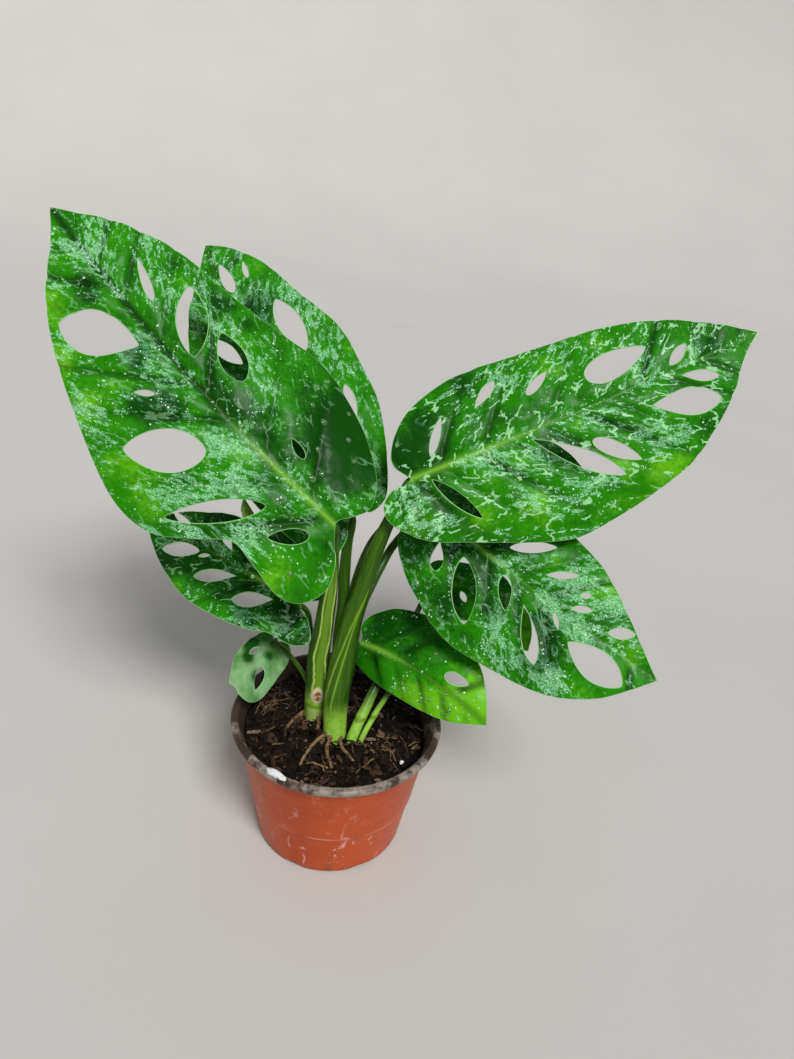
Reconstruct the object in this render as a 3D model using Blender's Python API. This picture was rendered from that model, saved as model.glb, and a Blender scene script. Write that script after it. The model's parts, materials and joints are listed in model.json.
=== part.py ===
"""A potted Swiss cheese vine: leaves with holes on sheathed stems, in a 12 cm nursery pot full of soil.

Sizes are in millimetres and are scaled to metres where a mesh is made. The origin is the centre of the
pot's underside, +Z is up and the front of the plant faces -Y.
"""

import math

import bmesh
import bpy
import numpy as np
from mathutils import Matrix, Vector
from mathutils.geometry import delaunay_2d_cdt

MM = 0.001
GAP = 0.3

# Colour and roughness of each sub-part
POT_LOOK = ((0.45, 0.10, 0.03), 0.35)
SOIL_LOOK = ((0.025, 0.018, 0.014), 0.95)
LEAF_LOOK = ((0.03, 0.20, 0.015), 0.3)
PALE_LEAF_LOOK = ((0.16, 0.33, 0.12), 0.4)
STEM_LOOK = ((0.10, 0.22, 0.02), 0.4)

# Pot
RIM_RADIUS = 59.5
POT_HEIGHT = 78.0
LIP_HEIGHT = 4.6
LIP_OVERHANG = 5.5
LIP_WIDTH = 4.5
WALL = 1.6
FLOOR = 4.6
BASE_RADIUS = 43.0
STEP_HEIGHT = 31.0
STEP_RADIUS = 48.0
STEP_WIDTH = 0.8
POT_SEGMENTS = 72
DRAINS = 7
FIRST_DRAIN = -59.0
NOTCH_WIDTH = 15.0
NOTCH_HEIGHT = 2.3
NOTCH_DEPTH = 8.0
DRAIN_RADIUS = 3.2

# Soil
SOIL_LEVEL = 69.0
SOIL_DIP = 6.0
MOUND = 3.0
MOUND_RADIUS = 14.0
STEM_GAP = 0.5
SOIL_RINGS = 9
SOIL_SEGMENTS = 40

# Leaves
BLADE = 0.7
BIG_LEAF = 110
KEEL = 1.5
KEEL_HALF_WIDTH = 2.2
VEIN_LEAN = 0.75
VEIN_BEND = 0.004
PUFF = 0.08

# Each leaf: base is where the stalk meets the blade and tip its point; roll turns the blade about the line
# between them, arch bends its midrib, fold and curl bend its left and right halves, half is the width at
# which curl is reached, bow moves the midrib sideways, wave is the ripple of the edge. left and right are
# the edges from the notch at the stalk to the tip, as distance along and away from the midrib. Each hole
# runs from near the midrib to near the edge: start, end, width, and where along it it is widest.
LEAVES = {
    "leaf_left_upper": dict(
        base=(-9, 3, 196), tip=(-167, 63, 324), roll=46, arch=20, fold=(6, 4), curl=(-24, -42),
        half=60, bow=6, wave=2.2, veins=22,
        left=[(-5, 6), (-14, 13), (-21, 25), (-18, 39), (-6, 45), (14, 42), (28, 41), (41, 53), (57, 66),
              (77, 68), (105, 60), (140, 46), (172, 30), (198, 9)],
        right=[(1, -4), (-3, -11), (-5, -20), (3, -32), (22, -47), (45, -57), (67, -61), (90, -56),
               (121, -46), (157, -38), (183, -24), (201, -9)],
        holes=[((141, -11), (164, -19), 5, 0.35), ((107, -8), (137, -31), 16, 0.5),
               ((83, -18), (109, -27), 14, 0.45), ((128, 8), (161, 31), 23, 0.57),
               ((105, 18), (112, 25), 3.5, 0.4), ((68, 19), (95, 47), 22, 0.45),
               ((30, 17), (58, 56), 12, 0.45), ((5, 13), (18, 28), 9, 0.4),
               ((35, -13), (47, -16), 5, 0.4)]),
    "leaf_left_back": dict(
        base=(-3, 31, 189), tip=(-103, 114, 306), roll=32, arch=26, fold=(6, 6), curl=(-24, -30),
        half=50, bow=9, wave=1.8, veins=20,
        left=[(-3, 4), (-10, 9), (-15, 18), (-12, 28), (2, 34), (24, 38), (52, 40), (84, 37), (116, 29),
              (140, 20), (158, 9)],
        right=[(2, -4), (-3, -10), (0, -20), (10, -29), (28, -41), (52, -52), (84, -57), (101, -54),
               (123, -42), (146, -31), (164, -16)],
        holes=[((139, -6), (160, -4), 7, 0.4), ((144, -16), (156, -17), 3.5, 0.4),
               ((92, -29), (126, -26), 15, 0.5), ((45, -34), (66, -39), 6.5, 0.6),
               ((60, -12), (80, -22), 6, 0.5), ((36, 9), (58, 26), 10, 0.5), ((66, 8), (90, 25), 12, 0.5),
               ((98, 6), (120, 17), 9, 0.5), ((18, -10), (30, -24), 6, 0.5)]),
    "leaf_right_upper": dict(
        base=(26, 20, 218), tip=(197, 73, 300), roll=-57, arch=16, fold=(-2, 6), curl=(-34, -22),
        half=50, bow=-2, wave=2.0, veins=21,
        left=[(-1, 3), (-5, 10), (-3, 18), (6, 29), (17, 37), (36, 44), (52, 45), (67, 43), (90, 41),
              (113, 39), (134, 34), (155, 26), (175, 15)],
        right=[(-3, -2), (-11, -2), (-18, -8), (-17, -18), (-4, -32), (16, -41), (35, -49), (56, -57),
               (72, -60), (98, -57), (119, -52), (137, -47), (154, -37), (170, -24), (184, -9)],
        holes=[((14, 7), (27, 25), 5, 0.45), ((44, 22), (60, 33), 6, 0.6), ((71, 18), (86, 26), 5.5, 0.4),
               ((102, 14), (138, 17), 15, 0.36), ((145, 3), (158, 10), 6.5, 0.5),
               ((148, -4), (167, -12), 6.5, 0.6), ((127, -12), (164, -23), 15, 0.6),
               ((92, -16), (112, -35), 8, 0.4), ((64, -4), (102, -39), 10, 0.55),
               ((10, -4), (26, -32), 7, 0.5)]),
    "leaf_right_middle": dict(
        base=(44, 40, 190), tip=(162, -20, 140), roll=-50, arch=22, fold=(4, 6), curl=(-34, -24),
        half=45, bow=-2, wave=1.6, veins=17,
        left=[(-2, 4), (-8, 9), (-12, 18), (-6, 28), (8, 34), (28, 38), (48, 39), (67, 37), (85, 33),
              (104, 23), (122, 12), (135, 4)],
        right=[(-1, -3), (-8, -7), (-12, -16), (-8, -26), (6, -37), (20, -43), (34, -48), (50, -50),
               (71, -47), (92, -43), (108, -37), (123, -26), (132, -15)],
        holes=[((10, -10), (18, -25), 8, 0.65), ((26, -9), (48, -37), 14, 0.5),
               ((49, -3), (61, -18), 7.5, 0.4), ((66, -9), (89, -31), 9, 0.6), ((81, -3), (88, -9), 3, 0.4),
               ((95, -11), (130, -13), 17, 0.55),
               ((66, 10), (80, 21), 4.5, 0.5), ((42, 10), (62, 26), 7, 0.45), ((86, 12), (91, 16), 4, 0.5),
               ((86, 4), (96, 10), 4, 0.5), ((108, 5), (120, 13), 6.5, 0.5)]),
    "leaf_left_lower": dict(
        base=(-26, 18, 137), tip=(-124, 61, 156), roll=38, arch=22, fold=(8, 4), curl=(-24, -24),
        half=35, bow=0, wave=1.4, veins=15,
        left=[(-2, 3), (-9, 7), (-15, 16), (-7, 22), (7, 23), (18, 27), (39, 30), (60, 29), (80, 21),
              (97, 11)],
        right=[(-1, -3), (-8, -8), (-11, -16), (-4, -23), (10, -28), (30, -31), (50, -29), (71, -23),
               (90, -14), (101, -7)],
        holes=[((79, -6), (99, -11), 5, 0.35), ((67, 3), (88, 12), 10, 0.5), ((60, 2), (66, 6), 3, 0.5),
               ((50, -6), (62, -13), 5, 0.6), ((39, 5), (61, 17), 8, 0.6), ((14, 6), (34, 18), 9, 0.6),
               ((22, -8), (36, -20), 7, 0.5)]),
    "leaf_right_lower": dict(
        base=(8, 22, 113), tip=(81, -19, 98), roll=-44, arch=40, fold=(2, -16), curl=(-10, -26),
        half=28, bow=4, wave=1.0, veins=14,
        left=[(0, 3), (-4, 8), (-4, 15), (1, 21), (9, 26), (23, 29), (40, 29), (55, 26), (68, 21),
              (78, 12)],
        right=[(1, -3), (-3, -7), (1, -11), (13, -16), (26, -19), (43, -19), (57, -17), (69, -13),
               (79, -6)],
        holes=[((54, 6), (68, 10), 7, 0.4)]),
    "leaf_left_small": dict(
        base=(-41, 23, 107), tip=(-60, -7, 97), roll=216, arch=-20, fold=(4, 4), curl=(20, 20),
        half=18, bow=0, wave=0.6, veins=9,
        left=[(-1, 2), (-3, 5), (1, 8), (14, 10), (25, 8), (33, 3)],
        right=[(-1, -2), (-5, -5), (-4, -11), (3, -15), (14, -17), (28, -19), (35, -16), (37, -9),
               (36, -4)],
        holes=[((17, -6), (29, -13), 6.5, 0.4), ((10, 3), (18, 4), 3.5, 0.5)]),
    "leaf_back_upper": dict(
        base=(43, 59, 190), tip=(128, 69, 210), roll=-56, arch=14, fold=(4, 4), curl=(-12, -12),
        half=28, bow=0, wave=1.0, veins=14,
        left=[(-2, 3), (-8, 8), (-8, 16), (2, 24), (22, 30), (44, 31), (61, 27), (76, 18)],
        right=[(-2, -3), (-8, -8), (-8, -15), (2, -21), (20, -25), (42, -26), (60, -21), (76, -12)],
        holes=[((36, 6), (50, 19), 7, 0.5), ((22, -6), (34, -16), 6, 0.5), ((46, -5), (58, -13), 5, 0.5)]),
    "leaf_back_lower": dict(
        base=(47, 47, 145), tip=(93, 32, 147), roll=-50, arch=14, fold=(4, 4), curl=(-12, -12),
        half=20, bow=0, wave=0.8, veins=11,
        left=[(-1, 2), (-5, 6), (-2, 11), (12, 13), (26, 13), (38, 11), (45, 5)],
        right=[(-1, -2), (-6, -6), (-5, -13), (5, -18), (20, -19), (34, -15), (43, -7)],
        holes=[((17, -3), (22, -9), 4, 0.5)]),
    "leaf_back_small": dict(
        base=(78, 41, 142), tip=(101, 11, 128), roll=-38, arch=14, fold=(4, 4), curl=(-12, -12),
        half=14, bow=0, wave=0.5, veins=9,
        left=[(-1, 2), (-4, 5), (-2, 9), (10, 12), (24, 12), (34, 7)],
        right=[(-1, -2), (-4, -5), (-2, -9), (10, -12), (24, -12), (34, -7)],
        holes=[]),
}

# Stalk and stem routes: x, y, z and radius at each point, from the soil upwards. For roots the third number
# is the height above the soil.
STALK_REACH = 14
SEAT_GAP = 0.45
STEM_LEFT = [(-13, 5, 60, 5.6), (-13, 6, 70, 6.4), (-13, 8, 84, 6.9), (-14, 11, 106, 6.2),
             (-13, 12, 119, 5.8), (-12, 12, 132, 5.2), (-11, 12, 145, 4.8), (-10, 12, 165, 3.8),
             (-10, 10, 183, 2.8)]
STALK_LEFT_LOWER = [(-14, 12, 92, 2.2), (-18, 20, 104, 2.0), (-21, 24, 117, 1.8), (-22.5, 22.5, 128, 1.7)]
STALK_LEFT_SMALL = [(-14, 10, 78, 1.6), (-22, 16, 90, 1.4), (-32, 19, 102, 1.2), (-39, 18, 109, 1.1)]
STALK_ROLLED = [(-11, 12, 149, 1.9), (-18, 14, 157, 1.6), (-33, 16, 165, 1.4), (-47, 17, 172, 1.3)]
STEM_CENTRE = [(1, -12, 60, 5.2), (0, -9, 70, 6.3), (-1, -3, 90, 6.7), (0, 3, 107, 7.2), (1, 7, 118, 6.8),
               (3, 11, 135, 5.8), (7, 14, 153, 5.2), (10, 16, 168, 4.5), (14, 18, 183, 3.9),
               (18, 20, 195, 3.3), (23, 22, 208, 2.8)]
STALK_LEFT_BACK = [(-2, 3, 106, 3.4), (-3, 11, 122, 3.6), (-3, 19, 140, 3.4), (-4, 25, 157, 3.2),
                   (-4, 30, 172, 2.8), (-3, 33, 182, 2.6)]
STALK_RIGHT_MIDDLE = [(5, 12, 138, 2.8), (10, 18, 150, 2.8), (15, 25, 161, 2.5), (21, 35, 171, 2.3),
                      (30, 43, 179, 2.2)]
STALK_BACK_UPPER = [(2, 13, 138, 2.2), (2, 20, 152, 2.0), (6, 30, 167, 1.8), (12, 40, 176, 1.7),
                    (23, 53, 184, 1.6), (34, 61, 188, 1.5)]
STALK_RIGHT_LOWER = [(1, -1, 88, 2.2), (3, 12, 92, 2.0), (5, 22, 98, 1.9), (7, 26, 105, 1.8)]
SHOOT_THICK = [(10, -17, 60, 2.6), (9.5, -12.5, 69, 3.0), (12.2, -6, 77, 3.1), (16, 1.5, 84.5, 2.9),
               (20, 10, 92, 2.6), (29, 24, 107, 2.1), (37, 37, 121, 1.7), (43, 47, 134, 1.5)]
SHOOT_THIN = [(14, -17, 60, 1.4), (15, -11, 70, 1.6), (20, -2, 79, 1.6), (26, 6, 88, 1.5), (39, 21, 104, 1.4),
              (57, 39, 120, 1.3), (72, 48, 132, 1.2)]
ROLLED_LEAF = [(-47.5, 17, 172.3, 1.3), (-49.6, 17, 173.8, 1.7), (-52, 16, 180, 2.8), (-55, 15, 188, 3.2),
               (-57, 15, 194, 2.2), (-58, 15, 199, 0.5)]
ROOTS_LEFT = [
    [(-16, 6, 4, 1.6), (-21, 5, 1.6, 1.3), (-24, 1, 0.8, 1.1), (-27, -6, 0.5, 1.0), (-29, -12, -1.5, 0.8)],
    [(-12, 4, 4, 1.6), (-10, -1, 1.6, 1.3), (-10, -6, 0.2, 1.1), (-11, -11, -3, 0.9)],
]
ROOTS_CENTRE = [
    [(-2, -11, 3, 1.4), (-7, -15, 1.4, 1.2), (-11, -21, 0.8, 1.1), (-14, -28, 0.5, 1.0),
     (-16, -33, -1.5, 0.8)],
    [(-1, -12, 3, 1.4), (-3, -18, 1.4, 1.2), (-2, -25, 0.8, 1.1), (1, -33, 0.5, 1.0), (2, -38, -1.5, 0.8)],
    [(3, -11, 3, 1.3), (5, -18, 1.2, 1.1), (9, -23, 0.6, 1.0), (14, -27, -1.5, 0.8)],
]


def new_material(name, look):
    colour, roughness = look
    material = bpy.data.materials.new(name)
    material.use_nodes = True
    shader = material.node_tree.nodes["Principled BSDF"]
    shader.inputs["Base Color"].default_value = (*colour, 1.0)
    shader.inputs["Roughness"].default_value = roughness
    shader.inputs["Metallic"].default_value = 0.0
    return material


def new_object(name, points, faces, look, smooth_angle=40):
    """An object from points in millimetres, shaded smooth except along sharp edges."""
    mesh = bpy.data.meshes.new(name)
    mesh.from_pydata([tuple(float(c) * MM for c in p) for p in points], [], faces)
    mesh.materials.append(new_material(name, look))
    mesh.shade_smooth()
    mesh.set_sharp_from_angle(angle=math.radians(smooth_angle))
    obj = bpy.data.objects.new(name, mesh)
    bpy.context.scene.collection.objects.link(obj)
    return obj


def apply_modifiers(obj):
    graph = bpy.context.evaluated_depsgraph_get()
    mesh = bpy.data.meshes.new_from_object(obj.evaluated_get(graph))
    obj.modifiers.clear()
    old = obj.data
    obj.data = mesh
    mesh.name = obj.name
    bpy.data.meshes.remove(old)


def combine(obj, others, operation):
    """Joins others to obj, or cuts them from it, in one Boolean, and removes them."""
    group = bpy.data.collections.new("tools")
    bpy.context.scene.collection.children.link(group)
    for other in others:
        bpy.context.scene.collection.objects.unlink(other)
        group.objects.link(other)
    boolean = obj.modifiers.new("combine", "BOOLEAN")
    boolean.operation = operation
    boolean.operand_type = "COLLECTION"
    boolean.collection = group
    boolean.solver = "EXACT"
    apply_modifiers(obj)
    for other in others:
        bpy.data.objects.remove(other)
    bpy.data.collections.remove(group)


def spline(points, steps):
    """A smooth curve through the points, with the given number of steps between each two."""
    points = np.asarray(points, float)
    ends = np.vstack([2 * points[0] - points[1], points, 2 * points[-1] - points[-2]])
    t = (np.arange(steps) / steps)[:, None]
    curve = []
    for a, b, c, d in zip(ends, ends[1:], ends[2:], ends[3:]):
        cubic = (3 * b - a - 3 * c + d) * t ** 3
        curve.append(0.5 * (2 * b + (c - a) * t + (2 * a - 5 * b + 4 * c - d) * t ** 2 + cubic))
    return np.vstack([*curve, points[-1:]])


def evenly(curve, spacing):
    """The curve's points moved to lie evenly along it, about the given spacing apart."""
    curve = np.asarray(curve, float)
    length = np.concatenate([[0], np.cumsum(np.linalg.norm(np.diff(curve, axis=0), axis=1))])
    count = max(2, int(round(length[-1] / spacing)) + 1)
    at = np.linspace(0, length[-1], count)
    return np.stack([np.interp(at, length, curve[:, i]) for i in range(curve.shape[1])], axis=1)


def tube(name, route, look=STEM_LOOK, sides=10, steps=2, extra=0.0, ridge=None):
    """A closed round stalk along a route of x, y, z, radius. ridge adds to the radius by angle and height,
    extra makes it wider all round and longer at both ends."""
    curve = spline(route, steps)
    centres, radii = curve[:, :3], curve[:, 3] + extra
    tangents = np.gradient(centres, axis=0)
    tangents /= np.linalg.norm(tangents, axis=1)[:, None]
    centres[0] -= extra * tangents[0]
    centres[-1] += extra * tangents[-1]
    front = np.array([0.0, -1.0, 0.0])
    points = []
    for centre, radius, tangent in zip(centres, radii, tangents):
        front = front - front @ tangent * tangent
        front /= np.linalg.norm(front)
        side = np.cross(tangent, front)
        for i in range(sides):
            angle = 2 * math.pi * i / sides
            reach = radius + (ridge(angle, centre[2]) if ridge else 0.0)
            points.append(centre + reach * (math.cos(angle) * front + math.sin(angle) * side))
    rings = len(centres)
    faces = [tuple(reversed(range(sides))), tuple(range((rings - 1) * sides, rings * sides))]
    for ring in range(rings - 1):
        for i in range(sides):
            a, b = ring * sides + i, ring * sides + (i + 1) % sides
            faces.append((a, b, b + sides, a + sides))
    return new_object(name, points, faces, look)


class Blade:
    """The bent surface of a leaf: places a point given along (s) and across (y) the midrib."""

    def __init__(self, leaf):
        self.leaf = leaf
        self.base = np.array(leaf["base"], float)
        chord = np.array(leaf["tip"], float) - self.base
        self.along = chord / np.linalg.norm(chord)
        up = np.array([0.0, 0.0, 1.0])
        upright = up - up @ self.along * self.along
        upright /= np.linalg.norm(upright)
        roll = math.radians(leaf["roll"])
        self.face = math.cos(roll) * upright + math.sin(roll) * np.cross(upright, self.along)
        self.across = np.cross(self.face, self.along)
        self.arch = math.radians(leaf["arch"])
        self.length = np.linalg.norm(chord) * (self.arch / 2) / math.sin(self.arch / 2)

    def midrib_shift(self, s):
        u = np.clip(s / self.length, 0, 1)
        return self.leaf["bow"] * 4 * u * (1 - u)

    def vein_start(self, s, y):
        """Where the side vein through a point leaves the midrib, counted in veins."""
        t = np.abs(y)
        run = VEIN_LEAN * t - VEIN_BEND * t * t
        return (s - run) / self.leaf["veins"] + np.where(y > 0, 0.0, 0.5)

    def relief(self, s, y):
        """Puffed up between the side veins."""
        t = np.abs(y)
        puff = np.abs(np.sin(math.pi * self.vein_start(s, y)))
        fade = np.clip(t / 7, 0, 1) * np.clip(1.3 - t / self.leaf["half"], 0, 1)
        return PUFF * self.leaf["veins"] * puff * fade

    def place(self, s, y):
        leaf = self.leaf
        s, y = np.asarray(s, float), np.asarray(y, float)
        bend = -self.arch / self.length
        start = self.arch / 2
        angle = start + bend * s
        mid_x = (np.sin(angle) - math.sin(start)) / bend
        mid_z = (math.cos(start) - np.cos(angle)) / bend
        left = y >= 0
        t = np.abs(y)
        fold = np.radians(np.where(left, leaf["fold"][0], leaf["fold"][1]))
        curl = np.radians(np.where(left, leaf["curl"][0], leaf["curl"][1])) / leaf["half"]
        out = (np.sin(fold + curl * t) - np.sin(fold)) / curl * np.sign(y)
        rise = (np.cos(fold) - np.cos(fold + curl * t)) / curl
        edge = np.clip(t / leaf["half"], 0, 1.3) ** 2
        phase = np.where(left, 0.6, 2.4)
        rise = rise + leaf["wave"] * edge * np.sin(6 * math.pi * s / self.length + phase)
        rise = rise + self.relief(s, y)
        out = out + self.midrib_shift(s)
        x = mid_x - rise * np.sin(angle)
        z = mid_z + rise * np.cos(angle)
        return self.base + x[..., None] * self.along + out[..., None] * self.across + z[..., None] * self.face

    def normal(self, s, y, reach=0.5):
        ds = self.place(s + reach, y) - self.place(s - reach, y)
        dy = self.place(s, y + reach) - self.place(s, y - reach)
        n = np.cross(ds, dy)
        return n / np.linalg.norm(n, axis=-1)[..., None]

    def keel(self, s):
        """Height of the midrib under the blade: it swells out past the stalk's end and fades to the tip."""
        return KEEL * np.clip((s - 6) / 8, 0, 1) * np.clip(1.05 - s / self.length, 0.1, 1)

    def under(self, s, radius, clear):
        """A point of the stalk's axis that lies just below the blade's midrib."""
        at = np.array([float(s)])
        zero = np.zeros(1)
        depth = BLADE / 2 + self.keel(at)[0] + clear + radius
        return tuple((self.place(at, zero) - depth * self.normal(at, zero))[0]) + (radius,)


def hole_outline(start, end, width, widest, points):
    """An eye-shaped loop from start to end, points stations on each side."""
    start, end = np.array(start, float), np.array(end, float)
    run = end - start
    out = np.array([-run[1], run[0]]) / np.linalg.norm(run)
    u = (1 - np.cos(np.pi * np.arange(1, points) / points)) / 2
    power = math.log(0.5) / math.log(widest)
    half = width / 2 * np.sin(np.pi * u ** power) ** 0.75
    one = start + u[:, None] * run + half[:, None] * out
    two = start + u[::-1, None] * run - half[::-1, None] * out
    return np.vstack([start, one, end, two])


def edge_outline(leaf, length, spacing):
    """The blade's edge as a loop: notch, left edge, tip, right edge."""
    notch, tip = (1.0, 0.0), (length, 0.0)
    left = evenly(spline([notch, *leaf["left"], tip], 6), spacing)
    right = evenly(spline([notch, *leaf["right"], tip], 6), spacing)
    return np.vstack([left, right[-2:0:-1]])


def inside(points, loop):
    """Which points lie inside a closed loop."""
    x, y = points[:, 0], points[:, 1]
    result = np.zeros(len(points), bool)
    for (x1, y1), (x2, y2) in zip(loop, np.roll(loop, -1, axis=0)):
        crosses = (y1 > y) != (y2 > y)
        if y1 != y2:
            result ^= crosses & (x < (x2 - x1) * (y - y1) / (y2 - y1) + x1)
    return result


def blade_sheet(blade, spacing, edge_spacing):
    """Flat points, triangles and boundary edges of a leaf with its holes."""
    leaf = blade.leaf
    loops = [edge_outline(leaf, blade.length, edge_spacing)]
    for start, end, width, widest in leaf["holes"]:
        stations = 3 if width < 4.5 else 4 if width < 9 else 5
        loops.append(hole_outline(start, end, width, widest, stations))
    points = [tuple(p) for loop in loops for p in loop]
    edges = []
    first = 0
    for loop in loops:
        count = len(loop)
        edges += [(first + i, first + (i + 1) % count) for i in range(count)]
        first += count
    rib = np.arange(4.0, blade.length - 4, spacing)
    edges += [(first + i, first + i + 1) for i in range(len(rib) - 1)]
    points += [(s, 0.0) for s in rib]
    boundary = np.vstack(loops)
    free = [(s, side * KEEL_HALF_WIDTH) for s in rib[:-1] + spacing / 2 for side in (-1, 1)]
    row_count = int(blade.length / leaf["veins"]) + 4
    for side in (-1, 1):
        for row in range(-6, 2 * row_count):
            start = leaf["veins"] * (row / 2 - (0.0 if side > 0 else 0.5))
            first_t = KEEL_HALF_WIDTH + spacing * (0.75 + 0.5 * (row % 2))
            for t in np.arange(first_t, 80, spacing):
                free.append((start + VEIN_LEAN * t - VEIN_BEND * t * t, side * t))
    free = np.array(free)
    free = free[inside(free, loops[0])]
    for loop in loops[1:]:
        free = free[~inside(free, loop)]
    gap = np.linalg.norm(free[:, None] - boundary[None], axis=2).min(axis=1)
    free = free[gap > np.where(np.abs(free[:, 1]) < KEEL_HALF_WIDTH + 0.6, 1.2, 0.5 * spacing)]
    points += [tuple(p) for p in free]
    flat, _, triangles, _, _, _ = delaunay_2d_cdt([Vector(p) for p in points], edges, [], 0, 1e-6)
    flat = np.array(flat)
    triangles = np.array([t for t in triangles if len(t) == 3])
    middle = flat[triangles].mean(axis=1)
    keep = inside(middle, loops[0])
    for loop in loops[1:]:
        keep &= ~inside(middle, loop)
    return flat, triangles[keep]


def make_leaf(name):
    """A closed blade: the same triangles on both faces, walls round the edge and the holes."""
    blade = Blade(LEAVES[name])
    spacing, edge_spacing = (9.0, 7.5) if blade.length > BIG_LEAF else (7.5, 5.0)
    flat, triangles = blade_sheet(blade, spacing, edge_spacing)
    used = np.unique(triangles)
    index = np.full(len(flat), -1)
    index[used] = np.arange(len(used))
    flat, triangles = flat[used], index[triangles]
    a, b, c = (flat[triangles[:, i]] for i in range(3))
    turn = (b - a)[:, 0] * (c - a)[:, 1] - (b - a)[:, 1] * (c - a)[:, 0]
    triangles[turn < 0] = triangles[turn < 0][:, ::-1]
    s, y = flat[:, 0], flat[:, 1]
    normal = blade.normal(s, y)
    middle = blade.place(s, y)
    ridge = blade.keel(s) * np.clip(1 - np.abs(y) / KEEL_HALF_WIDTH, 0, 1)
    top = middle + normal * BLADE / 2
    bottom = middle - normal * (BLADE / 2 + ridge)[:, None]
    count = len(flat)
    directed = {(int(t[i]), int(t[(i + 1) % 3])) for t in triangles for i in range(3)}
    faces = [tuple(int(i) for i in t) for t in triangles]
    faces += [tuple(int(i) + count for i in t[::-1]) for t in triangles]
    for p, q in sorted(directed):
        if (q, p) not in directed:
            faces += [(q, p, p + count), (q, p + count, q + count)]
    look = PALE_LEAF_LOOK if name == "leaf_left_small" else LEAF_LOOK
    return new_object(name, np.vstack([top, bottom]), faces, look, smooth_angle=60)


def stalk_to(name, route, radius):
    """The route led on under the blade's midrib, growing thinner."""
    blade = Blade(LEAVES[name])
    reach = STALK_REACH * min(1.0, blade.length / BIG_LEAF)
    return route + [blade.under(0.0, radius, 2 * SEAT_GAP), blade.under(reach, radius * 0.5, SEAT_GAP)]


def sheath(angle, height):
    """Two thin wings on the big leaf's stalk, either side of a channel that faces front and right."""
    lift = 1.3 * np.clip((height - 84) / 14, 0, 1) * np.clip((172 - height) / 20, 0, 1)
    total = 0.0
    for at in (math.radians(-15), math.radians(50)):
        away = abs((angle - at + math.pi) % (2 * math.pi) - math.pi)
        total += lift * math.exp(-((away / 0.2) ** 2))
    return total


def pot_profile():
    """Radius and height round the pot's section, up the outside and down the inside."""
    lip_low = POT_HEIGHT - LIP_HEIGHT
    top_wall = RIM_RADIUS - LIP_OVERHANG
    return [
        (0.0, 0.0), (BASE_RADIUS - 1.0, 0.0), (BASE_RADIUS, 1.0),
        (STEP_RADIUS - STEP_WIDTH, STEP_HEIGHT - 1.0), (STEP_RADIUS, STEP_HEIGHT), (top_wall, lip_low),
        (RIM_RADIUS - 1.6, lip_low),
        (RIM_RADIUS - 0.6, lip_low + 0.9), (RIM_RADIUS, POT_HEIGHT - 1.4), (RIM_RADIUS - 1.2, POT_HEIGHT),
        (RIM_RADIUS - LIP_WIDTH + 0.8, POT_HEIGHT), (RIM_RADIUS - LIP_WIDTH, POT_HEIGHT - 0.8),
        (top_wall - WALL, lip_low - 2.0), (STEP_RADIUS - WALL, STEP_HEIGHT),
        (BASE_RADIUS - WALL, FLOOR + 0.6), (BASE_RADIUS - WALL - 0.6, FLOOR), (0.0, FLOOR),
    ]


def turned(name, profile, segments, look):
    """A closed solid turned round the Z axis from a profile that starts and ends on it."""
    points = [(0.0, 0.0, profile[0][1])]
    for radius, height in profile[1:-1]:
        for i in range(segments):
            angle = 2 * math.pi * i / segments
            points.append((radius * math.cos(angle), radius * math.sin(angle), height))
    points.append((0.0, 0.0, profile[-1][1]))
    last = len(points) - 1
    rings = len(profile) - 2
    faces = []
    for i in range(segments):
        j = (i + 1) % segments
        faces.append((0, 1 + j, 1 + i))
        for ring in range(rings - 1):
            low, high = 1 + ring * segments, 1 + (ring + 1) * segments
            faces.append((low + i, low + j, high + j, high + i))
        top = 1 + (rings - 1) * segments
        faces.append((top + i, top + j, last))
    return new_object(name, points, faces, look, smooth_angle=30)


def drain_cutter(angle, radius, size, turn):
    """A round cutter of the given half sizes, lying along the radius or standing upright."""
    shape = bmesh.new()
    bmesh.ops.create_cone(shape, cap_ends=True, segments=12, radius1=1.0, radius2=1.0, depth=2.0)
    mesh = bpy.data.meshes.new("cutter")
    shape.to_mesh(mesh)
    shape.free()
    cutter = bpy.data.objects.new("cutter", mesh)
    spot = Vector((math.cos(angle), math.sin(angle), 0)) * radius * MM
    about_z = Matrix.Rotation(angle, 4, "Z")
    size = Matrix.Diagonal((*(s * MM for s in size), 1))
    mesh.transform(Matrix.Translation(spot) @ about_z @ turn @ size)
    bpy.context.scene.collection.objects.link(cutter)
    return cutter


def make_pot():
    """The pot, with arched notches round its foot and a drain hole above each of them."""
    pot = turned("pot", pot_profile(), POT_SEGMENTS, POT_LOOK)
    lying = Matrix.Rotation(math.radians(90), 4, "Y")
    cutters = []
    for i in range(DRAINS):
        angle = math.radians(FIRST_DRAIN) + 2 * math.pi * i / DRAINS
        notch = (NOTCH_HEIGHT, NOTCH_WIDTH / 2, NOTCH_DEPTH)
        cutters.append(drain_cutter(angle, BASE_RADIUS, notch, lying))
        hole = (DRAIN_RADIUS, DRAIN_RADIUS, 2 * FLOOR)
        cutters.append(drain_cutter(angle, BASE_RADIUS - NOTCH_DEPTH + DRAIN_RADIUS + 0.5, hole, Matrix()))
    combine(pot, cutters, "DIFFERENCE")
    return pot


def soil_height(x, y):
    """Lumpy surface, heaped round the stems and a little lower towards the right front."""
    lumps = 0.9 * np.sin(x / 5.3 + 1.2) * np.cos(y / 6.1) + 0.55 * np.sin(x / 3.1 - y / 4.3)
    heap = MOUND * np.exp(-((x + 4) ** 2 + (y + 3) ** 2) / (2 * MOUND_RADIUS ** 2))
    dip = SOIL_DIP * np.clip((x - 0.4 * y - 34) / 16, 0, 1)
    return SOIL_LEVEL + lumps + heap - dip


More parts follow.
